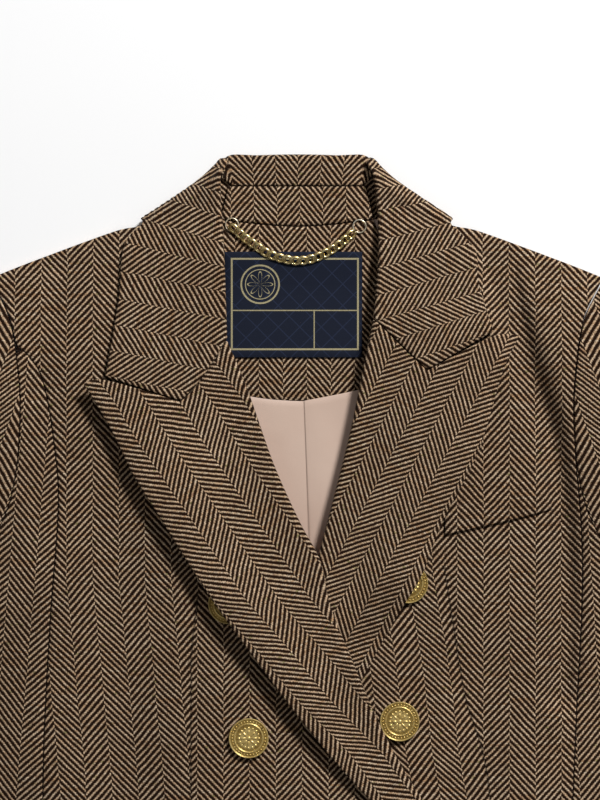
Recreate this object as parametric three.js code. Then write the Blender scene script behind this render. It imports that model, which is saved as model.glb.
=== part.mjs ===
// A double-breasted herringbone blazer with peaked lapels, laid flat with its front up.
// Millimetres. Across runs to the viewer's right from the centre back, down runs from the
// collar's back fold towards the hem, and +Z is up from the surface that it lies on.
import * as THREE from 'three';

// Thicknesses, and the space that seams and layers keep
const cloth = 2.0;
const liningCloth = 1.0;
const facingCloth = 1.2;
const seam = 0.3;
const layer = 0.6;

// How the garment lies
const fullness = 13;          // height of the hollow between the front and the back
const fullnessReach = 80;     // distance from a side over which that height builds up
const collarUnder = 2.5;      // the back rests this high on the collar folded under it
const wrapRadius = 3.6;       // the collar's turn round the shoulder edge
const rollRadius = 2.4;       // the turn of collar and lapel at the roll line
const neckRadius = 1.6;       // and of the collar beside the neck
const backRadius = 1.25;      // and behind it
const frontInset = 4.8;       // a front's edge inside the lapel's turn
const overlapRise = 2.8;      // the right front over the left front
const crossingRise = 4.4;     // and, above the break, over the left lapel too
const lapelSpring = 3.6;      // how far a lapel's outer edge stands off the front

// Lengths down from the collar's fold
const hemDown = 727;
const standSeamDown = 21;
const neckSeamDown = 47.5;

// Tables of edges: each row is [across, down]
const shoulderEdge = [[66, 34], [100, 46.5], [120, 51], [171, 69.6], [200, 81]];
const armholeUpper = [[200, 81], [188, 104], [183, 124]];
const armholeMiddle = [[183, 124], [179.5, 160], [181, 200]];
const armholeLower = [[181, 200], [188, 232], [205, 260], [235, 276]];
const sideEdge = [[235, 276], [222, 340], [209, 420], [205, 462], [212, 540], [232, 640], [250, 727]];
const neckEdge = [[-66, 34], [-52, 42.6], [0, 47.5], [52, 42.6], [66, 34]];
const neckSeam = [[-50, 43.2], [0, 47.5], [50, 43.2]];
const sleeveOuter = [[204, 81.6], [240, 92], [284, 118], [326, 158], [360, 210], [382, 268],
  [394, 330], [400, 400], [400, 480], [397, 560], [394, 628]];
const sleeveInner = [[236, 277], [243, 340], [249, 420], [254, 500], [257, 570], [259, 642]];
const rightPrincess = [[-183, 124], [-171, 136], [-163.8, 153], [-157.6, 190], [-154, 236],
  [-156, 300], [-160, 380], [-163, 460], [-168, 560], [-180, 727]];
const leftPrincess = [[181, 200], [185, 250], [185, 300], [181, 380], [179, 460], [185, 560], [196, 727]];
const frontEdgeAcross = 92;
const leftFrontEdgeAcross = -62;

// Columns of each front from its inner edge to the armhole, and the one where the left front is in two parts,
// so that each part stays simple over the hollow for the body
const rightFrontColumns = 10;
const leftFrontColumns = 14;
const leftFrontParting = 9;

// The right half of the wearer lies to the viewer's left. Each front has a roll line from
// the collar's fold to the break, a gorge from the roll line, and the peak's upper edge.
const rightRoll = {
  collar: [[-50, 22], [-47.6, 64], [-45.7, 121.6]],
  lapel: [[-45.7, 121.6], [-32.6, 152.8], [-15.2, 202], [2, 240], [15, 264.6], [21, 293],
    [34, 325], [49, 361], [64.4, 392], [80, 418], [93, 440]],
};
const leftRoll = {
  collar: [[51, 22], [53.2, 60], [49.6, 107.6]],
  lapel: [[49.6, 107.6], [42.9, 140.4], [34.9, 180], [21.8, 232], [13, 264.6], [5, 293],
    [-6, 325], [-20, 361], [-36, 392], [-50, 418], [-63, 440]],
};
const rightNeck = [[-66, 34], [-65, 60], [-61, 100], [-54, 126]];
const leftNeck = [[66, 34], [67, 60], [64, 88], [57, 112]];
const rightGorge = [[-45.7, 121.6], [-60, 145], [-74.8, 161.9]];
const leftGorge = [[49.6, 107.6], [66, 124], [84.2, 141.7]];
const rightPeak = [[-74.8, 161.9], [-124.2, 147.6], [-137.8, 150.2]];
const leftPeak = [[84.2, 141.7], [126, 119.6], [144.3, 118.6]];
const rightLapelEdge = [[-137.8, 150.2], [-120.5, 179.4], [-106, 208.7], [-89.7, 234.7], [-57.2, 286],
  [-30.6, 323], [-2, 361.4], [25.4, 395.2], [48.8, 420.6], [72, 438], [91, 446]];
const leftLapelEdge = [[144.3, 118.6], [133.3, 141.7], [117.7, 192.4], [94, 239.9], [81.3, 272.4],
  [65.4, 299.7], [45.5, 335.4], [20, 383], [-12, 422], [-61, 446]];
const rightLeafEnd = [[-74.8, 161.4], [-124.2, 145.6]];
const leftLeafEnd = [[84.2, 141.2], [127.4, 116]];
const rightLeafEdge = [[-124.2, 145.6], [-116, 97], [-112.5, 60], [-99.4, 45.6]];
const leftLeafEdge = [[127.4, 116], [118.3, 85.8], [115.7, 63], [99.4, 45.6]];

// The collar's fall where it turns round the shoulder edge, and under the back
const wrapLine = [[49.8, 7.4], [72, 27], [99.4, 45.6]];
const fallUnderDepth = 56;

// The trough where the left front falls towards the arm: each row is [across, down]
const leftTrough = [[128, 62], [141.7, 108.6], [154.7, 150.8], [166, 188], [172, 228], [174, 280], [172, 352]];
const leftTroughDepth = 8.5;
const rightTrough = [[-150, 75], [-163, 118], [-171, 150]];
const rightTroughDepth = 3;
const troughWidth = 12;

// Buttons: each row is [name, across, down, front]
const buttonRows = [
  ['button_upper_right', -44.5, 292.5, 'right'],
  ['button_middle_right', -31.2, 379.3, 'right'],
  ['button_lower_right', -31, 462, 'right'],
  ['button_upper_left', 72.2, 279.5, 'left'],
  ['button_middle_left', 66.6, 369, 'left'],
  ['button_lower_left', 65, 462, 'right'],
];
const buttonRadius = 12.8;
const buttonRise = 4.1;
const shankRadius = 3.5;

// Label, hanger chain and welt
const label = { left: -47.2, right: 42.5, top: 64, bottom: 132.9, thick: 1.0 };
const ringRadius = 4.0;
const ringWire = 0.6;
const ringCentres = { right: [-40.5, 46.6], left: [41, 47.2] };
const chainLine = [[-38.4, 51.8], [-31, 60.5], [-20, 68], [-6, 72.4], [8, 72.4], [22, 66.6],
  [32, 58.8], [38.4, 52.4]];
const chainWidth = 6.6;
const chainThick = 2.4;
const weltUpper = [[96, 232.8], [106.6, 229.2], [121, 223], [137, 214.5], [161, 206]];
const weltLower = [[96, 248], [103, 246.4], [121, 242.4], [138, 238.6], [165.8, 231.4]];
const weltCloth = 1.5;

// Materials
const tweed = () => new THREE.MeshStandardMaterial({ color: 0x675442, roughness: 0.95 });
const satin = () => new THREE.MeshStandardMaterial({ color: 0xbfa797, roughness: 0.45 });
const woven = () => new THREE.MeshStandardMaterial({ color: 0x1a2030, roughness: 0.7 });
const brass = () => new THREE.MeshStandardMaterial({ color: 0xb49d64, roughness: 0.3, metalness: 1 });

const blazer = new THREE.Group();

function add(name, geometry, material) {
  const mesh = new THREE.Mesh(geometry, material);
  mesh.name = name;
  blazer.add(mesh);
  return mesh;
}

// Small helpers for plan points and smooth steps
const toPlan = (rows) => rows.map(([across, down]) => new THREE.Vector2(across, -down));
const mirrored = (rows) => rows.map(([across, down]) => [-across, down]);
const reversed = (rows) => [...rows].reverse();
const mix = (a, b, t) => a + (b - a) * t;
const ease = (from, to, value) => THREE.MathUtils.smoothstep(value, from, to);
const spread = (rows, count) => new THREE.SplineCurve(toPlan(rows)).getSpacedPoints(count);
const chain = (...runs) => runs.flatMap((run, index) => (index ? run.slice(1) : run));

function distanceTo(line, x, y) {
  let nearest = Infinity;
  for (let i = 1; i < line.length; i += 1) {
    const start = line[i - 1];
    const run = line[i].clone().sub(start);
    const t = THREE.MathUtils.clamp(((x - start.x) * run.x + (y - start.y) * run.y) / run.lengthSq(), 0, 1);
    nearest = Math.min(nearest, Math.hypot(x - start.x - run.x * t, y - start.y - run.y * t));
  }
  return nearest;
}

// Heights: the back on the surface, the front above it, and the hollow between them
const closedEdges = [shoulderEdge, sleeveOuter, sleeveInner, sideEdge].flatMap((rows) => [
  spread(rows, 14), spread(mirrored(rows), 14)]);
const troughs = [
  { line: spread(leftTrough, 16), depth: leftTroughDepth },
  { line: spread(rightTrough, 8), depth: rightTroughDepth },
];

function backUnder(x, y) {
  const beside = 1 - ease(104, 140, Math.abs(x));
  return collarUnder * beside * (1 - ease(60, 92, -y));
}

const backTop = (x, y) => backUnder(x, y) + cloth;

function hollow(x, y) {
  const inward = Math.min(...closedEdges.map((line) => distanceTo(line, x, y)));
  return fullness * Math.sin((Math.PI / 2) * Math.min(1, inward / fullnessReach));
}

function trough(x, y) {
  return troughs.reduce((sum, { line, depth }) => {
    const away = distanceTo(line, x, y) / troughWidth;
    return sum + depth * Math.exp(-away * away);
  }, 0);
}

function overlap(x, y) {
  const inside = ease(-125, -70, x) * ease(150, 256, -y);
  return inside * (overlapRise + crossingRise * (1 - ease(480, 540, -y)));
}

const frontUnder = {
  left: (x, y) => backTop(x, y) + seam + hollow(x, y) - Math.min(trough(x, y), hollow(x, y) * 0.75),
  right: (x, y) => frontUnder.left(x, y) + overlap(x, y),
};
const frontTop = (side, x, y) => frontUnder[side](x, y) + cloth;

// A wall on a grid of points: pushed out to both sides of them, and closed round its edge
function wall(grid, outward, inward, upright = false) {
  const rows = grid.length;
  const columns = grid[0].length;
  const at = (j, i) => grid[THREE.MathUtils.clamp(j, 0, rows - 1)][THREE.MathUtils.clamp(i, 0, columns - 1)];
  const positions = [[], []];
  for (let j = 0; j < rows; j += 1) {
    for (let i = 0; i < columns; i += 1) {
      const across = at(j, i + 1).clone().sub(at(j, i - 1));
      const along = at(j + 1, i).clone().sub(at(j - 1, i));
      const normal = upright ? new THREE.Vector3(0, 0, 1) : along.cross(across).normalize();
      positions[0].push(at(j, i).clone().addScaledVector(normal, outward));
      positions[1].push(at(j, i).clone().addScaledVector(normal, -inward));
    }
  }
  const far = rows * columns;
  const faces = [];
  const quad = (a, b, c, d) => faces.push(a, b, c, a, c, d);
  for (let j = 0; j < rows - 1; j += 1) {
    for (let i = 0; i < columns - 1; i += 1) {
      const a = j * columns + i;
      const c = a + columns + 1;
      quad(a, a + columns, c, a + 1);
      quad(far + a, far + a + 1, far + c, far + a + columns);
    }
  }
  const rim = [];
  for (let i = 0; i < columns - 1; i += 1) rim.push(i);
  for (let j = 0; j < rows - 1; j += 1) rim.push(j * columns + columns - 1);
  for (let i = columns - 1; i > 0; i -= 1) rim.push((rows - 1) * columns + i);
  for (let j = rows - 1; j > 0; j -= 1) rim.push(j * columns);
  rim.forEach((a, index) => {
    const b = rim[(index + 1) % rim.length];
    quad(a, b, far + b, far + a);
  });
  return closedBody(positions.flat(), faces);
}

// A body from its points and faces, with the faces turned out
function closedBody(points, faces) {
  const volume = faces.reduce((sum, _, index) => {
    if (index % 3) return sum;
    const [a, b, c] = [points[faces[index]], points[faces[index + 1]], points[faces[index + 2]]];
    return sum + a.dot(b.clone().cross(c));
  }, 0);
  const geometry = new THREE.BufferGeometry().setFromPoints(points);
  geometry.setIndex(volume > 0 ? faces : [...faces].reverse());
  geometry.computeVertexNormals();
  return geometry;
}

// A plan grid between four edges, from the upper left corner: rows go down, columns across
function patch(top, bottom, left, right) {
  const columns = top.length - 1;
  const rows = left.length - 1;
  return left.map((_, j) => top.map((__, i) => {
    const u = i / columns;
    const v = j / rows;
    const blend = (key) => mix(top[i][key], bottom[i][key], v) + mix(left[j][key], right[j][key], u)
      - mix(mix(top[0][key], top[columns][key], u), mix(bottom[0][key], bottom[columns][key], u), v);
    return new THREE.Vector2(blend('x'), blend('y'));
  }));
}

const raise = (plan, height) => plan.map((row, j) => row.map((p, i) => (
  new THREE.Vector3(p.x, p.y, height(p.x, p.y, i / (row.length - 1), j / (plan.length - 1))))));

function addPanel(name, plan, height, thick, material) {
  return add(name, wall(raise(plan, height), thick, 0, true), material);
}

const moved = (line, dx, dy) => line.map((p) => new THREE.Vector2(p.x + dx, p.y + dy));

// A line drawn back from a line of points by a distance, to its left as it runs
function drawnBack(line, distance) {
  return line.map((p, index) => {
    const run = line[Math.min(index + 1, line.length - 1)].clone().sub(line[Math.max(index - 1, 0)]).normalize();
    return new THREE.Vector2(p.x - run.y * distance, p.y + run.x * distance);
  });
}

// The armhole from the shoulder to the underarm, with the same points on each piece that meets it
const armholeRuns = [[armholeUpper, 3], [armholeMiddle, 2], [armholeLower, 4]];
const sided = (rows, side) => rows.map(([across, down]) => [side * across, down]);
const armhole = (side, from = 0, to = 3) => chain(...armholeRuns.slice(from, to).map(([rows, count]) => (
  spread(sided(rows, side), count))));

// The back in one piece, its lining, and the facing at the neck
function addBack() {
  const shoulder = spread(reversed(mirrored(shoulderEdge)), 4);
  const neck = spread(neckEdge, 8);
  const top = chain(shoulder, neck, spread(shoulderEdge, 4));
  const side = (flip) => [...armhole(flip ? -1 : 1), ...spread(flip ? mirrored(sideEdge) : sideEdge, 10).slice(1)];
  const bottom = spread([[-250, hemDown], [0, hemDown], [250, hemDown]], top.length - 1);
  addPanel('back', patch(top, bottom, side(true), side(false)), backUnder, cloth, tweed());
}

const facingEdge = [[-72, 140], [-40, 156], [0, 161], [38, 155], [72, 138]];

function addLining() {
  const top = moved(spread(facingEdge, 8), 0, -seam);
  const bottom = spread([[-190, 700], [190, 700]], 8);
  const left = spread([[-72, 140.3], [-140, 300], [-176, 460], [-190, 700]], 10);
  const right = spread([[72, 138.3], [140, 300], [176, 460], [190, 700]], 10);
  const height = (x, y) => backTop(x, y) + seam;
  addPanel('lining_back', patch(top, bottom, left, right), height, liningCloth, satin());
}

function addFacing() {
  const top = moved(spread(neckSeam, 8), 0, -seam);
  const bottom = spread(facingEdge, 8);
  const left = spread([[-50, 43.5], [-66, 90], [-72, 140]], 7);
  const right = spread([[50, 43.5], [66, 90], [72, 138]], 7);
  const height = (x, y) => backTop(x, y) + seam;
  addPanel('back_neck_facing', patch(top, bottom, left, right), height, facingCloth, tweed());
}

const facingTop = (x, y) => backTop(x, y) + seam + facingCloth;

function addLabel() {
  const { left, right, top, bottom, thick } = label;
  const plan = patch(spread([[left, top], [right, top]], 5), spread([[left, bottom], [right, bottom]], 5),
    spread([[left, top], [left, bottom]], 5), spread([[right, top], [right, bottom]], 5));
  addPanel('neck_label', plan, (x, y) => facingTop(x, y) + seam, thick, woven());
}

// The hanger chain lies over the facing and the label, between two rings at the neck seam
function addHanger() {
  const lying = facingTop(0, -label.top) + seam + label.thick + seam + 0.2;
  const route = chainLine.map(([across, down]) => new THREE.Vector3(across, -down, lying + chainThick / 2));
  const section = new THREE.Shape().absellipse(0, 0, chainThick / 2, chainWidth / 2, 0, Math.PI * 2);
  const tube = new THREE.ExtrudeGeometry(section, {
    extrudePath: new THREE.CatmullRomCurve3(route), steps: 16, curveSegments: 4, bevelEnabled: false });
  add('hanger_chain', tube, brass());
  Object.entries(ringCentres).forEach(([side, [across, down]]) => {
    const ring = new THREE.TorusGeometry(ringRadius, ringWire, 6, 14);
    ring.translate(across, -down, facingTop(0, -neckSeamDown) + seam + ringWire + 0.2);
    add(`hanger_ring_${side}`, ring, brass());
  });
}

// The stand between the neck seam and the collar's fall
function addStand() {
  const top = spread([[-45, standSeamDown + seam], [0, standSeamDown + seam], [45, standSeamDown + seam]], 8);
  const bottom = moved(spread(neckSeam, 8), 0, seam);
  const left = spread([[-45, standSeamDown + seam], [-50, 42.9]], 3);
  const right = spread([[45, standSeamDown + seam], [50, 42.9]], 3);
  const rise = (v) => mix(cloth, facingTop(0, -neckSeamDown) - collarUnder, v);
  const grid = patch(top, bottom, left, right);
  const under = raise(grid, () => collarUnder);
  const over = raise(grid, (x, y, u, v) => collarUnder + rise(v));
  add('collar_stand', slab(over, under), tweed());
}

// A body between an upper and a lower grid of points
function slab(over, under) {
  const rows = over.length;
  const columns = over[0].length;
  const points = [...over.flat(), ...under.flat()];
  const far = rows * columns;
  const faces = [];
  const quad = (a, b, c, d) => faces.push(a, b, c, a, c, d);
  for (let j = 0; j < rows - 1; j += 1) {
    for (let i = 0; i < columns - 1; i += 1) {
      const a = j * columns + i;
      quad(a, a + columns, a + columns + 1, a + 1);
      quad(far + a, far + a + 1, far + a + columns + 1, far + a + columns);
    }
  }
  for (let i = 0; i < columns - 1; i += 1) {
    quad(i, i + 1, far + i + 1, far + i);
    const a = (rows - 1) * columns + i;
    quad(a + 1, a, far + a, far + a + 1);
  }
  for (let j = 0; j < rows - 1; j += 1) {
    const a = j * columns;
    quad(a + columns, a, far + a, far + a + columns);
    const b = a + columns - 1;
    quad(b, b + columns, far + b + columns, far + b);
  }
  return closedBody(points, faces);
}

// Fronts: from the armhole and the princess seam to the roll line, and below the break to the edge
function frontInnerEdge(side, neck, roll, edgeAcross) {
  const neckRun = spread(neck, 4);
  const rollRun = drawnBack(spread(roll.lapel, 12), side * frontInset)
    .filter((p) => p.y < neckRun[4].y - 10 && p.y > -430);
  return [...neckRun, ...rollRun, ...spread([[edgeAcross, 452], [edgeAcross, hemDown]], 8)];
}

function addFront({ side, name, inner, princess, armRuns, columns, edgeAcross, parting }) {
  const arm = armhole(side, 0, armRuns);
  const seamRun = spread(princess, inner.length - arm.length).slice(1);
  const outer = moved([...arm, ...seamRun], -side * seam, 0);
  const top = spread(sided(shoulderEdge, side), columns);
  const bottom = spread([[edgeAcross, hemDown], [outer[outer.length - 1].x, hemDown]], columns);
  const plan = patch(top, bottom, inner, outer);
  if (!parting) {
    addPanel(`front_${name}`, plan, frontUnder[name], cloth, tweed());
    return;
  }
  const parted = (rows, index, shift) => rows.map((row) => row.map((p, i) => (
    i === index ? new THREE.Vector2(p.x + shift, p.y) : p)));
  const innerPart = parted(plan.map((row) => row.slice(0, parting + 1)), parting, -side * seam / 2);
  const outerPart = parted(plan.map((row) => row.slice(parting)), 0, side * seam / 2);
  addPanel(`front_${name}`, innerPart, frontUnder[name], cloth, tweed());
  addPanel(`front_${name}_side`, outerPart, frontUnder[name], cloth, tweed());
}

function addSidePanel(side, name, princess, armRuns) {
  const arm = armhole(side, armRuns);
  const outer = [...arm, ...spread(sided(sideEdge, side), 10).slice(1)].slice(1);
  const inner = moved(spread(princess, outer.length).slice(1), side * seam, 0);
  const across = (index) => [0, 0.5, 1].map((t) => inner[index].clone().lerp(outer[index], t));
  const plan = patch(across(0), across(inner.length - 1), inner, outer);
  addPanel(`side_panel_${name}`, plan, frontUnder[name], cloth, tweed());
}

// Sleeves: an upper and an under piece that meet along both sides of the arm
function addSleeve(side, name) {
  const arm = armhole(side);
  const inner = moved([...arm, ...spread(sided(sleeveInner, side), 10).slice(1)], side * 2 * seam, seam);
  const rows = inner.length - 1;
  const outer = spread(sided(sleeveOuter, side), rows);
  const end = (index, count) => Array.from({ length: count + 1 }, (_, i) => (
    inner[index].clone().lerp(outer[index], i / count)));
  const upper = patch(end(0, 6), end(rows, 6), inner, outer);
  const under = patch(end(0, 4), end(rows, 4), inner, outer);
  addPanel(`upper_sleeve_${name}`, upper, frontUnder.left, cloth, tweed());
  addPanel(`under_sleeve_${name}`, under, backUnder, cloth, tweed());
}

// A cross-section that turns round a roll: a short return, the turn, then the fall
function rolledRow({ centre, out, up, radius, from, inner, fall }) {
  const turn = [-90, -45, 0, 45, 90].filter((angle) => angle >= from).map((angle) => {
    const a = THREE.MathUtils.degToRad(angle);
    return centre.clone().addScaledVector(up, radius * Math.sin(a)).addScaledVector(out, -radius * Math.cos(a));
  });
  return [...(inner ? [inner] : []), ...turn, ...fall];
}

const vertical = new THREE.Vector3(0, 0, 1);

// Lapels: they turn round the front at the roll line and spring off it at their outer edge
function lapelSpringAt(side, x, y, u, v, buttons) {
  const pressed = side > 0 ? ease(270, 325, -y) : ease(0.75, 0.95, v);
  const spring = lapelSpring * ease(0.15, 1, u) * (1 - pressed);
  const cleared = buttons.reduce((sum, [, across, down]) => {
    const away = Math.hypot(x - across, y + down) / 24;
    return sum + 2.7 * Math.exp(-away * away);
  }, 0);
  return spring + cleared;
}

function addLapel(side, name, front, roll, gorge, peak, edge) {
  const rows = 18;
  const top = chain(spread(gorge, 3), spread(peak, 4));
  const left = spread(roll.lapel, rows);
  const right = spread(edge, rows);
  const bottom = top.map((_, i) => left[rows].clone().lerp(right[rows], i / (top.length - 1)));
  const plan = patch(top, bottom, left, right);
  const buttons = buttonRows.filter(([id]) => id === `button_upper_${name}`);
  const height = (x, y, u, v) => (
    frontTop(front, x, y) + layer + cloth / 2 + lapelSpringAt(side, x, y, u, v, buttons));
  const grid = plan.map((row, j) => {
    const v = j / rows;
    const out = new THREE.Vector3(row[1].x - row[0].x, row[1].y - row[0].y, 0).normalize();
    const inset = rollRadius + cloth / 2;
    const x = row[0].x + out.x * inset;
    const y = row[0].y + out.y * inset;
    const centre = new THREE.Vector3(x, y, height(x, y, 0, v) - rollRadius);
    const fall = row.slice(1).map((p, i) => (
      new THREE.Vector3(p.x, p.y, height(p.x, p.y, (i + 1) / (row.length - 1), v))));
    if (j === rows) fall.forEach((p, i) => p.addScaledVector(out, 2 + i * 1.5));
    return rolledRow({ centre, out, up: vertical, radius: rollRadius, from: -45, fall });
  });
  add(`lapel_${name}`, wall(grid, cloth / 2, cloth / 2), tweed());
}

// The collar's fall: a leaf on each front, round the shoulder edges and under the back
function leafRows(side, front, roll, gorge, end, edge) {
  const rows = 6;
  const left = reversed(spread(roll.collar, rows));
  const gorgeUp = moved(spread(gorge, 3), 0, 1);
  const lower = chain(gorgeUp, spread(end, 3));
  const outer = spread(edge, rows);
  const wrap = spread(wrapLine.map(([across, down]) => [side * across, down]), 6);
  left[0].copy(gorgeUp[0]);
  const plan = patch(lower, wrap, left, outer);
  return plan.slice(0, rows).map((row, j) => {
    const v = j / rows;
    const height = (x, y, u) => frontTop(front, x, y) + layer + 0.5 + cloth / 2 + 1.6 * ease(0.2, 1, u) * (1 - v);
    const out = new THREE.Vector3(row[1].x - row[0].x, row[1].y - row[0].y, 0).normalize();
    const radius = mix(rollRadius, neckRadius, ease(0.4, 1, v));
    const x = row[0].x + out.x * (radius + cloth / 2);
    const y = row[0].y + out.y * (radius + cloth / 2);
    const centre = new THREE.Vector3(x, y, height(x, y, 0) - radius);
    const fall = row.slice(1).map((p, i) => new THREE.Vector3(p.x, p.y, height(p.x, p.y, (i + 1) / 6)));
    const inner = centre.clone().addScaledVector(vertical, -radius).addScaledVector(out, 1.5);
    return rolledRow({ centre, out, up: vertical, radius, from: -90, inner, fall });
  });
}

function wrapRows(side) {
  const line = spread(wrapLine.map(([across, down]) => [side * across, down]), 6);
  const start = line[0];
  const run = line[6].clone().sub(start).normalize();
  const out = new THREE.Vector3(run.x, run.y, 0);
  const beside = new THREE.Vector3(-run.y * side, run.x * side, 0);
  const middle = wrapRadius + cloth / 2;
  return [0, 45, 90, 135, 180].map((degrees) => {
    const a = THREE.MathUtils.degToRad(degrees);
    const up = vertical.clone().multiplyScalar(Math.cos(a)).addScaledVector(beside, Math.sin(a));
    const radius = mix(neckRadius, backRadius, degrees / 180);
    const place = (p) => new THREE.Vector3(p.x, p.y, middle).addScaledVector(up, wrapRadius);
    const centre = place(start).addScaledVector(up, -radius);
    const down = new THREE.Vector3(0, -1, 0).lerp(out, 1 - ease(0, 90, degrees)).normalize();
    const inner = centre.clone().addScaledVector(up, -radius).addScaledVector(down, mix(3, 12.5, ease(0, 135, degrees)));
    return rolledRow({ centre, out, up, radius, from: -90, inner, fall: line.slice(1).map(place) });
  });
}

function underRows(side) {
  const [rollAcross, rollDown] = wrapLine[0];
  const [edgeAcross, edgeDown] = wrapLine[wrapLine.length - 1];
  return [0.3, 0.65].map((t) => underRow(
    side * mix(rollAcross, 0, t),
    mix(rollDown, cloth / 2 + backRadius, ease(0, 0.35, t)),
    side * mix(edgeAcross, 0, t),
    mix(edgeDown, fallUnderDepth, Math.sin((t * Math.PI) / 2)),
  ));
}

function underRow(rollAcross, rollDown, edgeAcross, edgeDown) {
  const centre = new THREE.Vector3(rollAcross, -rollDown, cloth / 2 + backRadius);
  const fall = [1, 2, 3, 4, 5, 6].map((i) => (
    new THREE.Vector3(mix(rollAcross, edgeAcross, i / 6), -mix(rollDown, edgeDown, i / 6), cloth / 2)));
  const inner = new THREE.Vector3(rollAcross * 0.94, -standSeamDown + seam, cloth / 2 + 2 * backRadius);
  const out = new THREE.Vector3(0, -1, 0);
  const up = new THREE.Vector3(0, 0, -1);
  return rolledRow({ centre, out, up, radius: backRadius, from: -90, inner, fall });
}

function addCollarFall() {
  const middleRow = underRow(0, cloth / 2 + backRadius, 0, fallUnderDepth);
  const half = (side, front, roll, gorge, end, edge) => [
    ...leafRows(side, front, roll, gorge, end, edge), ...wrapRows(side), ...underRows(side)];
  const rightHalf = half(-1, 'right', rightRoll, rightGorge, rightLeafEnd, rightLeafEdge);
  const leftHalf = half(1, 'left', leftRoll, leftGorge, leftLeafEnd, leftLeafEdge);
  const grid = [...rightHalf, middleRow, ...reversed(leftHalf)];
  add('collar_fall', wall(grid, cloth / 2, cloth / 2), tweed());
}

function addWelt() {
  const plan = patch(spread(weltUpper, 6), spread(weltLower, 6), spread([weltUpper[0], weltLower[0]], 2),
    spread([weltUpper[weltUpper.length - 1], weltLower[weltLower.length - 1]], 2));
  addPanel('breast_welt', plan, (x, y) => frontTop('left', x, y) + 0.8, weltCloth, tweed());
}

// Domed buttons with a raised rim, on a short shank
function addButtons() {
  const profile = [[0, 0.3], [shankRadius, 0.3], [shankRadius, 1.0], [buttonRadius - 1.6, 1.0],
    [buttonRadius, 2.0], [buttonRadius - 0.5, 3.1], [buttonRadius - 2.4, 3.2], [5.5, 3.9], [0, buttonRise]];
  const points = profile.map(([radius, height]) => new THREE.Vector2(radius, height));
  buttonRows.forEach(([name, across, down, front]) => {
    const button = new THREE.LatheGeometry(points, 16);
    button.rotateX(Math.PI / 2);
    button.translate(across, -down, frontTop(front, across, -down) + 0.1);
    add(name, button, brass());
  });
}

addBack();
addLining();
addFacing();
addLabel();
addHanger();
addStand();
addFront({
  side: -1, name: 'right', inner: frontInnerEdge(-1, rightNeck, rightRoll, frontEdgeAcross),
  princess: rightPrincess, armRuns: 1, columns: rightFrontColumns, edgeAcross: frontEdgeAcross,
});
addFront({
  side: 1, name: 'left', inner: frontInnerEdge(1, leftNeck, leftRoll, leftFrontEdgeAcross),
  princess: leftPrincess, armRuns: 2, columns: leftFrontColumns, edgeAcross: leftFrontEdgeAcross,
  parting: leftFrontParting,
});
addSidePanel(-1, 'right', rightPrincess, 1);
addSidePanel(1, 'left', leftPrincess, 2);
addSleeve(-1, 'right');
addSleeve(1, 'left');
addLapel(-1, 'right', 'right', rightRoll, rightGorge, rightPeak, rightLapelEdge);
addLapel(1, 'left', 'left', leftRoll, leftGorge, leftPeak, leftLapelEdge);
addCollarFall();
addWelt();
addButtons();

// The origin is under the middle of the whole garment, on the surface it lies on
const box = new THREE.Box3().setFromObject(blazer);
const middle = box.getCenter(new THREE.Vector3());
blazer.position.set(-middle.x, -middle.y, -box.min.z);

export default blazer;
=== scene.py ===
import math

import bpy
import numpy as np
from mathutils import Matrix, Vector


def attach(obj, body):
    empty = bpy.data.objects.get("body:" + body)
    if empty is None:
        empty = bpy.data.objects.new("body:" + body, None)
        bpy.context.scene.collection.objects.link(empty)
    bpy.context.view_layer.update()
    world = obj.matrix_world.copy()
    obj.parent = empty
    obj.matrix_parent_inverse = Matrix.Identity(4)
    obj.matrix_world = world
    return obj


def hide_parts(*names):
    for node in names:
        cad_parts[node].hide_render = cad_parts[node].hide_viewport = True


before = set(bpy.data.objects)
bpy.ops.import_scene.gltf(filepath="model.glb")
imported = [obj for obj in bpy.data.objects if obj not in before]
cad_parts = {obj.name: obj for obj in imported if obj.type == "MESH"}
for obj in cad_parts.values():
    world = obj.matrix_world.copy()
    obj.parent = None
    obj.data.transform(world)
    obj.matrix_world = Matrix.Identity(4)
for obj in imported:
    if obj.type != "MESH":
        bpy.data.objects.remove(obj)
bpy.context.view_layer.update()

# Plan tables are in millimetres, as in the part's source: each row is [across, down],
# across from the centre back, down from the fold of the collar.
cut = {
    "cloth": 2.0,
    "lining": 1.0,
    "facing": 1.2,
    "seam": 0.3,
    "layer": 0.6,
    "fullness": 13.0,
    "fullnessReach": 80.0,
    "collarUnder": 2.5,
    "wrapRadius": 3.6,
    "rollRadius": 2.4,
    "neckRadius": 1.6,
    "backRadius": 1.25,
    "frontInset": 4.8,
    "overlapRise": 2.8,
    "crossingRise": 4.4,
    "lapelSpring": 8.0,
    "hemDown": 727.0,
    "standSeamDown": 21.0,
    "neckSeamDown": 47.5,
    "fallUnderDepth": 56.0,
    "finer": 1.12,         # the weave lies a little closer where the cloth is turned out
    "midDown": 363.5,      # the part's origin lies this far down
}

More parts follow.
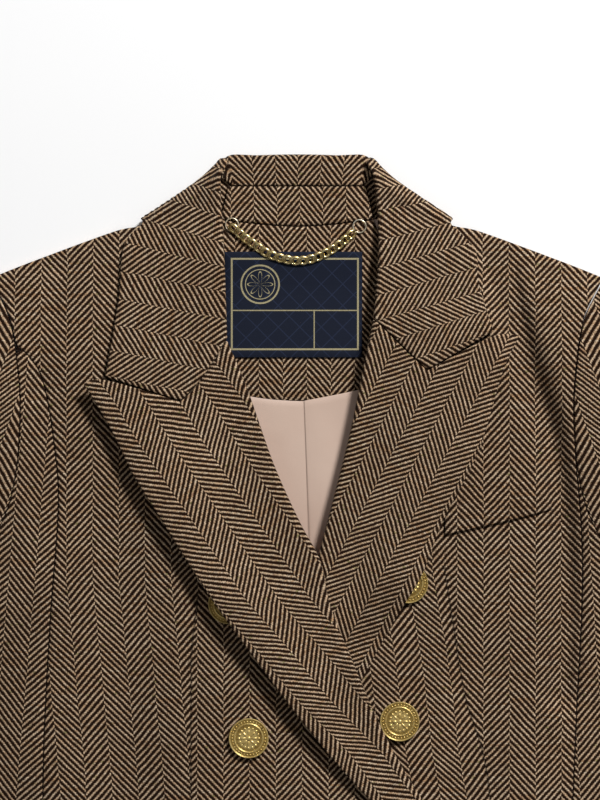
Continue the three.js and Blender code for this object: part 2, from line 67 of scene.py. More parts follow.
shoulderEdge = [[66, 34], [100, 46.5], [120, 51], [171, 69.6], [200, 81]]
armholeUpper = [[200, 81], [188, 104], [183, 124]]
armholeMiddle = [[183, 124], [179.5, 160], [181, 200]]
armholeLower = [[181, 200], [188, 232], [205, 260], [235, 276]]
sideEdge = [[235, 276], [222, 340], [209, 420], [205, 462], [212, 540], [232, 640], [250, 727]]
neckEdge = [[-66, 34], [-52, 42.6], [0, 47.5], [52, 42.6], [66, 34]]
neckSeam = [[-50, 43.2], [0, 47.5], [50, 43.2]]
sleeveOuter = [[204, 81.6], [240, 92], [284, 118], [326, 158], [360, 210], [382, 268],
               [394, 330], [400, 400], [400, 480], [397, 560], [394, 628]]
sleeveInner = [[236, 277], [243, 340], [249, 420], [254, 500], [257, 570], [259, 642]]
rightPrincess = [[-183, 124], [-171, 136], [-163.8, 153], [-157.6, 190], [-155, 230],
                 [-160, 300], [-164.4, 380], [-166, 460], [-170, 560], [-180, 727]]
leftPrincess = [[181, 200], [185, 250], [185, 300], [181, 380], [179, 460], [185, 560], [196, 727]]
facingEdge = [[-72, 140], [-40, 156], [0, 161], [38, 155], [72, 138]]
wrapLine = [[47.0, 6.6], [51.6, 11.4], [60.2, 19.2], [72, 27.6], [99.4, 45.6]]

rightSide = {
    "side": -1,
    "name": "right",
    "frontEdge": 92,
    "neck": [[-66, 34], [-65, 60], [-61, 100], [-54, 126]],
    "rollCollar": [[-48.4, 9], [-50, 22], [-47.6, 64], [-45.7, 121.6]],
    "rollLapel": [[-45.7, 121.6], [-32.6, 152.8], [-15.2, 202], [2, 240], [15, 264.6], [21, 293],
                  [34, 325], [49, 361], [64.4, 392], [80, 418], [93, 440]],
    "gorge": [[-45.7, 121.6], [-60, 145], [-74.8, 161.9]],
    "peak": [[-74.8, 161.9], [-124.2, 147.6], [-137.8, 150.2]],
    "lapelEdge": [[-137.8, 150.2], [-120.5, 179.4], [-106, 208.7], [-89.7, 234.7], [-57.2, 286],
                  [-30.6, 323], [-2, 361.4], [25.4, 395.2], [48.8, 420.6], [72, 438], [91, 446]],
    "leafEnd": [[-74.8, 161.4], [-124.2, 145.6]],
    "leafEdge": [[-124.2, 145.6], [-116, 97], [-112.5, 60], [-99.4, 45.6]],
    "princess": rightPrincess,
    "armRuns": 1,
}
leftSide = {
    "side": 1,
    "name": "left",
    "frontEdge": -62,
    "neck": [[66, 34], [67, 60], [64, 88], [57, 112]],
    "rollCollar": [[48.4, 9], [51, 22], [53.2, 60], [49.6, 107.6]],
    "rollLapel": [[49.6, 107.6], [42.9, 140.4], [34.9, 180], [21.8, 232], [13, 264.6], [5, 293],
                  [-6, 325], [-20, 361], [-36, 392], [-50, 418], [-63, 440]],
    "gorge": [[49.6, 107.6], [66, 124], [84.2, 141.7]],
    "peak": [[84.2, 141.7], [126, 119.6], [144.3, 118.6]],
    "lapelEdge": [[144.3, 118.6], [133.3, 141.7], [117.7, 192.4], [94, 239.9], [81.3, 272.4],
                  [65.4, 299.7], [45.5, 335.4], [20, 383], [-12, 422], [-61, 446]],
    "leafEnd": [[84.2, 141.2], [127.4, 116]],
    "leafEdge": [[127.4, 116], [118.3, 85.8], [115.7, 63], [99.4, 45.6]],
    "princess": leftPrincess,
    "armRuns": 2,
}

# Troughs and soft creases: a line, how deep (a ridge is below nought) and how wide each is
troughs = [
    {"line": [[128, 62], [141.7, 108.6], [154.7, 150.8], [166, 188], [172, 228], [174, 280], [172, 352]],
     "depth": 11.5, "width": 9},
    {"line": [[-150, 75], [-163, 118], [-171, 150]], "depth": 3, "width": 12},
]

# Waist darts: the line, which side of it leans, and how far the weave has moved at each depth
darts = {
    "right": {"line": [[-64, 268], [-64.4, 290], [-68.2, 323], [-68.6, 356], [-68.6, 440], [-66, 500], [-62, 570]],
              "down": [277, 290, 323, 356, 388, 417, 450, 490, 530, 570],
              "lean": [0, 1.3, 4.6, 7.5, 10.8, 13, 14, 12, 7, 0]},
    "left": {"line": [[94, 250], [95.5, 268], [104, 323], [110, 356], [120.3, 388], [125, 417], [128, 460], [126, 570]],
             "down": [252, 272, 290, 323, 356, 388, 417, 450, 490, 530, 570],
             "lean": [0, 1, 4, 10, 14.3, 17.6, 23, 25, 20, 10, 0]},
}
dartGroove = {"depth": 0.9, "width": 3.2, "fade": 26}

buttonRows = [
    ["button_upper_right", -44.5, 292.5, "right"],
    ["button_middle_right", -31.2, 379.3, "right"],
    ["button_lower_right", -31, 462, "right"],
    ["button_upper_left", 72.2, 279.5, "left"],
    ["button_middle_left", 66.6, 369, "left"],
    ["button_lower_left", 65, 462, "right"],
]


# Curves in plan: points are [across, up] in millimetres
def curveAt(rows, fractions):
    points = np.array([[across, -down] for across, down in rows], float)
    last = len(points) - 1
    t = np.linspace(0, last, 60 * last + 1)
    i = np.minimum(t.astype(int), last - 1)
    w = (t - i)[:, None]
    p0, p1, p2, p3 = points[np.maximum(i - 1, 0)], points[i], points[i + 1], points[np.minimum(i + 2, last)]
    v0, v1 = (p2 - p0) / 2, (p3 - p1) / 2
    fine = ((2 * p1 - 2 * p2 + v0 + v1) * w**3 + (-3 * p1 + 3 * p2 - 2 * v0 - v1) * w**2 + v0 * w + p1)
    return alongLine(fine, fractions)


def alongLine(fine, fractions):
    steps = np.hypot(*np.diff(fine, axis=0).T)
    length = np.concatenate([[0], np.cumsum(steps)])
    at = np.asarray(fractions) * length[-1]
    return np.stack([np.interp(at, length, fine[:, 0]), np.interp(at, length, fine[:, 1])], axis=1)


def spread(rows, count):
    return curveAt(rows, np.linspace(0, 1, count + 1))


def sided(rows, side):
    return [[side * across, down] for across, down in rows]


def joined(*runs):
    return np.concatenate([run if k == 0 else run[1:] for k, run in enumerate(runs)])


def ease(start, end, value):
    t = np.clip((value - start) / (end - start), 0, 1)
    return t * t * (3 - 2 * t)


def mix(a, b, t):
    return a + (b - a) * t


def distanceTo(line, x, y):
    nearest = np.full(np.shape(x), 1e9)
    for start, end in zip(line[:-1], line[1:]):
        run = end - start
        t = np.clip(((x - start[0]) * run[0] + (y - start[1]) * run[1]) / (run @ run), 0, 1)
        nearest = np.minimum(nearest, np.hypot(x - start[0] - run[0] * t, y - start[1] - run[1] * t))
    return nearest


# Heights: the back on the surface, the front above it, and the hollow between them
closedEdges = [spread(sided(rows, side), 14) for rows in (shoulderEdge, sleeveOuter, sleeveInner, sideEdge)
               for side in (-1, 1)]
for row in troughs:
    row["points"] = spread(row["line"], 16)


def backUnder(x, y):
    beside = 1 - ease(104, 140, np.abs(x))
    return cut["collarUnder"] * beside * (1 - ease(60, 92, -y))


def backTop(x, y):
    return backUnder(x, y) + cut["cloth"]


def hollow(x, y):
    inward = np.min([distanceTo(line, x, y) for line in closedEdges], axis=0)
    return cut["fullness"] * np.sin((np.pi / 2) * np.minimum(1, inward / cut["fullnessReach"]))


def trough(x, y):
    return sum(row["depth"] * np.exp(-(distanceTo(row["points"], x, y) / row["width"])**2) for row in troughs)


def overlap(x, y):
    inside = ease(-125, -70, x) * ease(150, 256, -y)
    return inside * (cut["overlapRise"] + cut["crossingRise"] * (1 - ease(480, 540, -y)))


def frontUnder(name, x, y):
    room = hollow(x, y)
    lying = backTop(x, y) + cut["seam"] + room - np.minimum(trough(x, y), room * 0.85)
    return lying + (overlap(x, y) if name == "right" else 0)


# How far a point lies to the leaning side of its front's dart, and how far the weave leans there
def dartAway(name, x, y):
    line = spread(darts[name]["line"], 60)
    at = np.interp(-y, -line[:, 1], line[:, 0])
    return at - x


def dartLean(name, x, y):
    return np.interp(-y, darts[name]["down"], darts[name]["lean"])


def dartDip(name, x, y):
    down = [row[1] for row in darts[name]["line"]]
    along = ease(down[0], down[0] + dartGroove["fade"], -y) * (1 - ease(down[-1] - dartGroove["fade"], down[-1], -y))
    return dartGroove["depth"] * along * np.exp(-np.abs(dartAway(name, x, y)) / dartGroove["width"])


def frontTop(name, x, y):
    return frontUnder(name, x, y) + cut["cloth"]


def facingTop(x, y):
    return backTop(x, y) + cut["seam"] + cut["facing"]


# A plan grid between four edges, from the upper left corner: rows go down, columns across.
# The channels are across, up, u and v.
def patch(top, bottom, left, right):
    u = np.linspace(0, 1, len(top))[None, :, None]
    v = np.linspace(0, 1, len(left))[:, None, None]
    rim = mix(top[None], bottom[None], v) + mix(left[:, None], right[:, None], u)
    corners = mix(mix(top[0], top[-1], u), mix(bottom[0], bottom[-1], u), v)
    plan = rim - corners
    return np.concatenate([plan, u + 0 * v, v + 0 * u], axis=2)


# Spacings across a run of cloth: close together by both edges, where the cloth turns over
edgeTurn = [0.0, 0.08, 0.3, 1.0]


def stations(length, count, turn, tight=None):
    bend = min(turn, length / 5)
    edge = np.array(edgeTurn) * bend
    start = bend
    middle = []
    if tight:      # the first stretch, as round a roll, takes closer steps
        start = min(tight[0], length * 0.4)
        middle = np.linspace(bend, start, tight[1] + 1)[:-1]
    return np.concatenate([edge[:-1], middle, np.linspace(start, length - bend, count + 1), (length - edge)[::-1][1:]])


def turned(length, at, turn):
    bend = min(turn, length / 5)
    away = np.minimum(np.minimum(at, length - at) / bend, 1)
    return np.sqrt(np.maximum(0.0004, 1 - (1 - away)**2))


def respaced(lines, step, turn, dims=2, tight=None):
    lengths = [np.concatenate([[0], np.cumsum(np.linalg.norm(np.diff(line[:, :dims], axis=0), axis=1))])
               for line in lines]
    count = max(2, int(round(np.mean([length[-1] for length in lengths]) / step)))
    spaced = []
    for line, length in zip(lines, lengths):
        at = stations(length[-1], count, turn, tight)
        channels = [np.interp(at, length, line[:, k]) for k in range(line.shape[1])]
        spaced.append(np.stack(channels + [turned(length[-1], at, turn)], axis=1))
    return np.array(spaced)


# A fitted grid keeps its channels, and its last one says how far the cloth's edge has turned
def fitted(lines, step, turn, dims=2, tight=None):
    across = respaced(lines, step, turn, dims, tight)
    down = np.swapaxes(respaced(np.swapaxes(across, 0, 1), step, turn, dims), 0, 1)
    full = np.minimum(down[:, :, -2], down[:, :, -1])
    return np.concatenate([down[:, :, :-2], full[:, :, None]], axis=2)


def laid(grid, height, thick):
    x, y, u, v, full = np.moveaxis(grid, 2, 0)
    middle = height(x, y, u, v) + thick / 2
    return np.stack([x, y, middle], axis=2), full * thick / 2


def normalsOf(points):
    along = np.gradient(points, axis=0)
    across = np.gradient(points, axis=1)
    normal = np.cross(along, across)
    return normal / np.maximum(np.linalg.norm(normal, axis=2, keepdims=True), 1e-9)


# Rims, faces and the finished mesh of a sheet of cloth
def shellFaces(rows, columns):
    at = np.arange(rows * columns).reshape(rows, columns)
    far = rows * columns
    top = np.stack([at[:-1, :-1], at[1:, :-1], at[1:, 1:], at[:-1, 1:]], axis=-1).reshape(-1, 4)
    under = top[:, ::-1] + far
    rim = np.concatenate([at[0, :-1], at[:-1, -1], at[-1, :0:-1], at[:0:-1, 0]])
    following = np.roll(rim, -1)
    side = np.stack([rim, following, following + far, rim + far], axis=1)
    return top, under, side


def signedVolume(points, faces):
    a, b, c, d = (points[faces[:, k]] for k in range(4))
    return np.einsum("ij,ij->", a, np.cross(b, c)) + np.einsum("ij,ij->", a, np.cross(c, d))


def buildCloth(name, over, under, weave, finish, lined=None, attributes=None):
    rows, columns = over.shape[:2]
    points = np.concatenate([over.reshape(-1, 3), under.reshape(-1, 3)])
    top, bottom, side = shellFaces(rows, columns)
    faces = np.concatenate([top, bottom, side])
    if signedVolume(points, faces) < 0:
        faces = faces[:, ::-1]
    mesh = bpy.data.meshes.new(name)
    mesh.from_pydata(inFrame(points).tolist(), [], faces.tolist())
    mesh.materials.append(finish)
    if lined is not None:      # the faces of one side take the lining
        mesh.materials.append(lined["finish"])
        first, count = (len(top), len(bottom)) if lined["under"] else (0, len(top))
        index = np.zeros(len(faces), int)
        index[first:first + count] = 1
        mesh.polygons.foreach_set("material_index", index)
    corners = np.empty(len(faces) * 4, int)
    mesh.loops.foreach_get("vertex_index", corners)
    both = np.concatenate([weave.reshape(-1, 2), weave.reshape(-1, 2)]) / 1000
    layer = mesh.uv_layers.new(name="weave")
    layer.data.foreach_set("uv", both[corners].ravel())
    for key, values in (attributes or {}).items():
        attribute = mesh.attributes.new(key, "FLOAT", "POINT")
        attribute.data.foreach_set("value", np.concatenate([values.ravel(), values.ravel()]))
    mesh.shade_smooth()
    mesh.update()
    piece = bpy.data.objects.new(name, mesh)
    bpy.context.scene.collection.objects.link(piece)
    return piece


def inFrame(points):
    return (points + np.array([0, cut["midDown"], 0])) / 1000


# Where a piece belongs: its part from model.glb is hidden and the piece rides on the root
def settle(piece, node):
    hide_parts(node)
    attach(piece, "root")
    return piece


# The weave runs along a grain: degrees from straight down towards the viewer's right
def grain(points, degrees, across, down):
    a = math.radians(degrees)
    x, y = points[..., 0] - across, points[..., 1] + down
    return np.stack([x * math.cos(a) + y * math.sin(a), x * math.sin(a) - y * math.cos(a)], axis=-1)


# Materials
def paint(red, green, blue):
    def channel(value):
        value /= 255
        return value / 12.92 if value <= 0.04045 else ((value + 0.055) / 1.055)**2.4
    return (channel(red), channel(green), channel(blue), 1)


class Nodes:
    def __init__(self, name):
        self.material = bpy.data.materials.new(name)
        self.material.use_nodes = True
        self.tree = self.material.node_tree
        self.shader = next(n for n in self.tree.nodes if n.type == "BSDF_PRINCIPLED")

    def add(self, kind, **settings):
        node = self.tree.nodes.new(kind)
        for key, value in settings.items():
            setattr(node, key, value)
        return node

    def link(self, source, target):
        if isinstance(source, (int, float, tuple)):
            target.default_value = source
        else:
            self.tree.links.new(source, target)

    def math(self, operation, *values):
        node = self.add("ShaderNodeMath", operation=operation)
        for k, value in enumerate(values):
            self.link(value, node.inputs[k])
        return node.outputs[0]

    def mixed(self, amount, first, second, blend="MIX"):
        node = self.add("ShaderNodeMix", data_type="RGBA", blend_type=blend)
        self.link(amount, node.inputs[0])
        self.link(first, node.inputs[6])
        self.link(second, node.inputs[7])
        return node.outputs[2]

    def weave(self):
        split = self.add("ShaderNodeSeparateXYZ")
        self.link(self.add("ShaderNodeUVMap", uv_map="weave").outputs[0], split.inputs[0])
        return split.outputs[0], split.outputs[1]

    def object(self):
        return self.add("ShaderNodeTexCoord").outputs["Object"]

    def noise(self, vector, scale, detail=2.0, rough=0.5):
        node = self.add("ShaderNodeTexNoise")
        self.link(vector, node.inputs["Vector"])
        node.inputs["Scale"].default_value = scale
        node.inputs["Detail"].default_value = detail
        node.inputs["Roughness"].default_value = rough
        return node.outputs["Fac"]

    def ranged(self, value, low, high, to=(0.0, 1.0)):
        node = self.add("ShaderNodeMapRange")
        self.link(value, node.inputs[0])
        for k, number in enumerate((low, high) + to):
            node.inputs[k + 1].default_value = number
        return node.outputs[0]

    def vector(self, x, y, z):
        node = self.add("ShaderNodeCombineXYZ")
        for k, value in enumerate((x, y, z)):
            self.link(value, node.inputs[k])
        return node.outputs[0]

    def bump(self, height, distance, strength=1.0):
        node = self.add("ShaderNodeBump")
        self.link(height, node.inputs["Height"])
        node.inputs["Distance"].default_value = distance
        node.inputs["Strength"].default_value = strength
        self.link(node.outputs[0], self.shader.inputs["Normal"])
        return node

    def set(self, **values):
        for key, value in values.items():
            self.link(value, self.shader.inputs[key.replace("_", " ")])


tweedFinish = {
    "column": 0.017,          # a half column of the herringbone
    "ends": 16,               # warp yarns in it
    "pick": 0.0011125,        # weft yarns lie this far apart
    "cream": (255, 228, 194),
    "tan": (214, 170, 126),
    "rose": (178, 136, 112),
    "straw": (180, 166, 112),
    "dark": (42, 22, 9),
    "deep": (12, 4, 1),
    "seam": 0.0007,
}


def makeTweed():
    n = Nodes("herringbone tweed")
    u, v = n.weave()
    place = n.object()
    dart = n.add("ShaderNodeAttribute", attribute_name="dart").outputs["Fac"]
    lean = n.add("ShaderNodeAttribute", attribute_name="lean").outputs["Fac"]
    u = n.math("SUBTRACT", u, n.math("MULTIPLY", lean, n.math("GREATER_THAN", dart, 0.0)))
    sway = n.math("MULTIPLY", n.math("SUBTRACT", n.noise(place, 55.0, 2.0), 0.5), 0.0012)
    shake = n.math("MULTIPLY", n.math("SUBTRACT", n.noise(place, 520.0, 1.0), 0.5), 0.0009)
    u = n.math("ADD", n.math("ADD", u, sway), shake)
    v = n.math("ADD", v, n.math("MULTIPLY", n.math("SUBTRACT", n.noise(place, 38.0, 2.0), 0.5), 0.002))
    across = n.math("DIVIDE", u, tweedFinish["column"] / tweedFinish["ends"])
    down = n.math("DIVIDE", v, tweedFinish["pick"])
    columnIndex = n.math("FLOOR", n.math("DIVIDE", across, float(tweedFinish["ends"])))
    parity = n.math("PINGPONG", columnIndex, 1.0)
    within = n.math("PINGPONG", across, float(tweedFinish["ends"]))
    endIndex = n.math("FLOOR", within)
    pickIndex = n.math("FLOOR", down)
    half = n.math("MULTIPLY", parity, 2.0)
    step = n.math("ADD", n.math("SUBTRACT", pickIndex, endIndex), half)
    turn = n.math("FLOORED_MODULO", step, 4.0)
    cell = n.math("LESS_THAN", turn, 1.5)
    # the same diagonal without its steps: 0 in the middle of a light line, 1 between two
    slide = n.math("ADD", n.math("SUBTRACT", down, within), half)
    between = n.math("PINGPONG", n.math("DIVIDE", n.math("SUBTRACT", slide, 0.5), 4.0), 0.5)
    fuzz = n.math("MULTIPLY", n.math("SUBTRACT", n.noise(place, 1100.0, 2.0, 0.6), 0.5), 0.34)
    line = n.ranged(n.math("ADD", between, fuzz), 0.25, -0.02)
    light = n.math("ADD", n.math("MULTIPLY", line, 0.82), n.math("MULTIPLY", cell, 0.08))
    light = n.math("MULTIPLY", light, n.ranged(n.noise(place, 900.0, 1.0, 0.6), 0.32, 0.56, (0.58, 1.0)))
    pickRound = n.math("SINE", n.math("MULTIPLY", n.math("FRACT", down), math.pi))
    endRound = n.math("SINE", n.math("MULTIPLY", n.math("FRACT", across), math.pi))
    # each light yarn has a tone of its own, and it changes slowly along the yarn
    yarn = n.noise(n.vector(n.math("MULTIPLY", u, 14.0), n.math("MULTIPLY", pickIndex, 3.7), parity), 1.0, 2.0, 0.7)
    cream = n.mixed(n.ranged(yarn, 0.3, 0.7), paint(*tweedFinish["tan"]), paint(*tweedFinish["cream"]))
    fleck = n.noise(n.vector(n.math("MULTIPLY", u, 160.0), n.math("MULTIPLY", pickIndex, 9.1), 4.0), 1.0, 1.0)
    cream = n.mixed(n.ranged(fleck, 0.66, 0.78), cream, paint(*tweedFinish["rose"]))
    cream = n.mixed(n.ranged(fleck, 0.34, 0.25), cream, paint(*tweedFinish["straw"]))
    fibre = n.noise(place, 2600.0, 2.0, 0.6)
    dark = n.mixed(fibre, paint(*tweedFinish["deep"]), paint(*tweedFinish["dark"]))
    colour = n.mixed(light, dark, cream)
    # beads: painted shade in the gaps between the yarns and a painted highlight on each yarn's crown, from their round
    # profile; the shade below also takes random tone and the seam line
    beads = n.ranged(n.math("MULTIPLY", pickRound, endRound), 0.0, 0.9, (0.74, 1.2))
    shade = n.math("MULTIPLY", beads, n.ranged(fibre, 0.2, 0.8, (0.74, 1.2)))
    cloud = n.ranged(n.noise(place, 16.0, 3.0), 0.3, 0.7, (0.92, 1.08))
    shade = n.math("MULTIPLY", shade, cloud)
    sewn = n.math("MULTIPLY", n.math("LESS_THAN", n.math("ABSOLUTE", dart), tweedFinish["seam"]),
                  n.math("GREATER_THAN", lean, 0.0008))
    shade = n.math("MULTIPLY", shade, n.ranged(sewn, 0.0, 1.0, (1.0, 0.45)))
    colour = n.mixed(1.0, colour, n.vector(shade, shade, shade), "MULTIPLY")
    n.set(Base_Color=colour, Roughness=0.92)
    n.shader.inputs["Sheen Weight"].default_value = 0.02
    n.shader.inputs["Sheen Roughness"].default_value = 0.6
    n.shader.inputs["Specular IOR Level"].default_value = 0.06
    raised = n.math("MULTIPLY", light, n.math("ADD", n.math("MULTIPLY", pickRound, 0.5), 0.5))
    n.bump(n.math("ADD", raised, n.math("MULTIPLY", fibre, 0.35)), 0.0003, 0.8)
    return n.material


liningFinish = {"low": (192, 163, 146), "high": (212, 187, 170), "thread": 0.00042}


def makeSatin():
    n = Nodes("satin lining")
    u, v = n.weave()
    place = n.object()
    tone = n.ranged(n.noise(place, 9.0, 3.0), 0.3, 0.7)
    colour = n.mixed(tone, paint(*liningFinish["low"]), paint(*liningFinish["high"]))
    grainTone = n.ranged(n.noise(n.vector(n.math("MULTIPLY", u, 3.0), v, 0.0), 1400.0, 1.0), 0.2, 0.8, (0.93, 1.05))
    colour = n.mixed(1.0, colour, n.vector(grainTone, grainTone, grainTone), "MULTIPLY")
    n.set(Base_Color=colour, Roughness=0.42)
    n.shader.inputs["Sheen Weight"].default_value = 0.25
    n.shader.inputs["Anisotropic"].default_value = 0.4
    thread = n.math("SINE", n.math("MULTIPLY", n.math("DIVIDE", v, liningFinish["thread"]), 2 * math.pi))
    wave = n.noise(place, 34.0, 3.0)
    n.bump(n.math("ADD", n.math("MULTIPLY", thread, 0.03), wave), 0.0009, 0.5)
    return n.material


labelFinish = {
    "navy": (13, 23, 45), "ink": (4, 8, 19), "lattice": (36, 46, 72), "gold": (168, 158, 122), "wire": 0.0009,
    "left": 4.7, "top": 4.6, "right": 86.9, "bottom": 63.5, "divide": 38.2, "upright": 58.4,
    "ring": (23.2, 21.2, 12.3),
}


def makeLabelCloth():
    n = Nodes("woven label")
    u, v = n.weave()
    f = labelFinish
    mm = 0.001

    def outline(cx, cy, hx, hy, wide):
        away = n.math("MAXIMUM",
                      n.math("SUBTRACT", n.math("ABSOLUTE", n.math("SUBTRACT", u, cx)), hx),
                      n.math("SUBTRACT", n.math("ABSOLUTE", n.math("SUBTRACT", v, cy)), hy))
        return n.math("LESS_THAN", n.math("ABSOLUTE", away), wide / 2)

    left, right, top, bottom = (f[key] * mm for key in ("left", "right", "top", "bottom"))
    midU, midV, halfU, halfV = (left + right) / 2, (top + bottom) / 2, (right - left) / 2, (bottom - top) / 2
    border = outline(midU, midV, halfU, halfV, f["wire"] * 1.3)
    split = (f["divide"] + f["bottom"]) / 2 * mm
    lower = outline(midU, split, halfU, (f["bottom"] - f["divide"]) / 2 * mm, f["wire"] * 0.8)
    post = outline((f["upright"] + f["right"]) / 2 * mm, split, (f["right"] - f["upright"]) / 2 * mm,
                   (f["bottom"] - f["divide"]) / 2 * mm, f["wire"] * 0.8)
    ringU, ringV, ringR = (value * mm for value in f["ring"])
    du, dv = n.math("SUBTRACT", u, ringU), n.math("SUBTRACT", v, ringV)
    away = n.math("SQRT", n.math("ADD", n.math("MULTIPLY", du, du), n.math("MULTIPLY", dv, dv)))
    turn = n.math("ARCTAN2", dv, du)
    petal = n.math("ABSOLUTE", n.math("COSINE", n.math("MULTIPLY", turn, 4.0)))
    rings = [n.math("LESS_THAN", n.math("ABSOLUTE", n.math("SUBTRACT", away, radius)), wide)
             for radius, wide in ((ringR, 0.00055), (ringR * 0.78, 0.0003))]
    bloom = n.math("LESS_THAN", n.math("ABSOLUTE", n.math("SUBTRACT", away, n.math("MULTIPLY", petal, ringR * 0.66))),
                   0.00042)
    gold = n.math("MAXIMUM", n.math("MAXIMUM", border, lower), n.math("MAXIMUM", post, n.math("MAXIMUM", rings[0],
                  n.math("MAXIMUM", rings[1], bloom))))
    slants = [n.math("PINGPONG", n.math("ADD", u, n.math("MULTIPLY", v, sign)), 0.007) for sign in (1.0, -1.0)]
    lattice = n.math("LESS_THAN", n.math("MINIMUM", slants[0], slants[1]), 0.00045)
    rib = n.math("SINE", n.math("MULTIPLY", v, 2 * math.pi / 0.00055))
    ground = n.mixed(n.ranged(rib, -1.0, 1.0, (0.35, 0.9)), paint(*f["ink"]), paint(*f["navy"]))
    ground = n.mixed(n.math("MULTIPLY", lattice, 0.55), ground, paint(*f["lattice"]))
    gleam = n.ranged(n.noise(n.vector(n.math("MULTIPLY", u, 900.0), n.math("MULTIPLY", v, 1900.0), 0.0), 1.0), 0.3, 0.7,
                     (0.7, 1.15))
    thread = n.mixed(1.0, paint(*f["gold"]), n.vector(gleam, gleam, gleam), "MULTIPLY")
    n.set(Base_Color=n.mixed(gold, ground, thread), Roughness=0.7)
    n.shader.inputs["Sheen Weight"].default_value = 0.04
    n.shader.inputs["Specular IOR Level"].default_value = 0.2
    n.bump(n.math("ADD", n.math("MULTIPLY", rib, 0.25), gold), 0.00018, 0.8)
    return n.material


brassFinish = {"bright": (230, 204, 134), "worn": (194, 164, 94), "deep": (84, 60, 24), "metal": 0.65}
chainFinish = {"bright": (255, 238, 180), "worn": (226, 196, 124), "deep": (96, 70, 28), "metal": 1.0}
# a darker brass, for painted shade in the buttons' sunk faces
recessShadeFinish = {"bright": (184, 154, 84), "worn": (144, 114, 54), "deep": (60, 42, 16), "metal": 0.65}
paleFinish = {"bright": (240, 232, 212), "worn": (206, 192, 160), "deep": (120, 100, 70), "metal": 0.8}


def makeBrass(name, finish):
    n = Nodes(name)
    place = n.object()
    wear = n.ranged(n.noise(place, 240.0, 4.0, 0.6), 0.35, 0.7)
    colour = n.mixed(wear, paint(*finish["bright"]), paint(*finish["worn"]))
    pits = n.ranged(n.noise(place, 900.0, 2.0), 0.58, 0.75)
    colour = n.mixed(pits, colour, paint(*finish["deep"]))
    n.set(Base_Color=colour, Metallic=finish["metal"], Roughness=n.ranged(wear, 0.0, 1.0, (0.26, 0.4)))
    n.bump(n.noise(place, 1300.0, 2.0), 0.00008, 0.35)
    return n.material


tweed = makeTweed()
satin = makeSatin()
labelCloth = makeLabelCloth()
brass = makeBrass("polished brass", brassFinish)
chainBrass = makeBrass("bright brass", chainFinish)
recessShadeBrass = makeBrass("brass with painted recess shade", recessShadeFinish)
pale = makeBrass("pale brass", paleFinish)
insideOut = {"finish": satin, "under": True}      # a front is lined on its underside
insideUp = {"finish": satin, "under": False}      # and the back on its upper side
print("materials made")

spacing = {"front": 3.2, "panel": 4.5, "lapel": 3.0, "collar": 3.0, "edge": 1.0}


def upright(grid, height, thick):
    middle, half = laid(grid, height, thick)
    lift = np.zeros_like(middle)
    lift[..., 2] = half
    return middle, middle + lift, middle - lift


def armhole(side, start=0, end=3):
    runs = [(armholeUpper, 24), (armholeMiddle, 20), (armholeLower, 30)]
    return joined(*[spread(sided(rows, side), count) for rows, count in runs[start:end]])


# The back in one piece, its lining with the pleat, and the facing at the neck
def addBack():
    top = joined(spread([[-a, d] for a, d in shoulderEdge[::-1]], 40), spread(neckEdge, 48), spread(shoulderEdge, 40))
    sides = [joined(armhole(side), spread(sided(sideEdge, side), 80)) for side in (-1, 1)]
    bottom = spread([[-250, cut["hemDown"]], [0, cut["hemDown"]], [250, cut["hemDown"]]], len(top) - 1)
    grid = fitted(patch(top, bottom, *sides), 6.0, spacing["edge"])
    middle, over, under = upright(grid, lambda x, y, u, v: backUnder(x, y), cut["cloth"])
    piece = buildCloth("back_cloth", over, under, grain(middle, 0, 0, 0), tweed, insideUp)
    settle(piece, "back")


liningShape = {"pleat": [4.6, 8.4], "pleatDown": [161, 262], "step": 0.6, "rise": 1.2, "reach": 9.0, "gather": 40.0, "creases": [
    # line, height and width of each soft fold
    ([[-34, 165], [-16, 240], [-8, 320]], 0.35, 6),
    ([[24, 170], [34, 210], [20, 262]], -0.3, 8),
]}


def pleatAcross(y):
    return np.interp(-y, liningShape["pleatDown"], liningShape["pleat"])


def liningHeight(x, y, u, v):
    past = x - pleatAcross(y)
    rise = liningShape["rise"] * (1 - np.exp(-np.maximum(past, 0) / liningShape["reach"]))
    step = liningShape["step"] * ease(-0.15, 0.15, past) + rise
    folds = sum(high * np.exp(-(distanceTo(spread(line, 10), x, y) / wide)**2)
                for line, high, wide in liningShape["creases"])
    return backTop(x, y) + cut["seam"] + step + folds


def addLining():
    top = spread(facingEdge, 60) - [0, cut["seam"]]
    bottom = spread([[-190, 700], [190, 700]], 60)
    left = spread([[-72, 140.3], [-140, 300], [-176, 460], [-190, 700]], 90)
    right = spread([[72, 138.3], [140, 300], [176, 460], [190, 700]], 90)
    grid = fitted(patch(top, bottom, left, right), 4.0, 0.5)
    past = grid[..., 0] - pleatAcross(grid[..., 1])      # columns gather beside the pleat
    grid[..., 0] += past * (np.minimum(np.abs(past) / liningShape["gather"], 1)**0.7 - 1)
    middle, over, under = upright(grid, liningHeight, cut["lining"])
    piece = buildCloth("back_lining", over, under, grain(middle, 0, 0, 0), satin)
    settle(piece, "lining_back")


def addFacing():
    top = spread(neckSeam, 60) - [0, cut["seam"]]
    left = spread([[-50, 43.5], [-66, 90], [-72, 140]], 50)
    right = spread([[50, 43.5], [66, 90], [72, 138]], 50)
    grid = fitted(patch(top, spread(facingEdge, 60), left, right), 3.0, 0.6)
    middle, over, under = upright(grid, lambda x, y, u, v: backTop(x, y) + cut["seam"], cut["facing"])
    weave = grain(middle, 0, 6.5, 47.5) * [17 / 15.6, 1]
    piece = buildCloth("neck_facing", over, under, weave, tweed)
    settle(piece, "back_neck_facing")


labelShape = {"left": -47.2, "right": 42.5, "top": 64, "bottom": 132.9, "thick": 1.0}


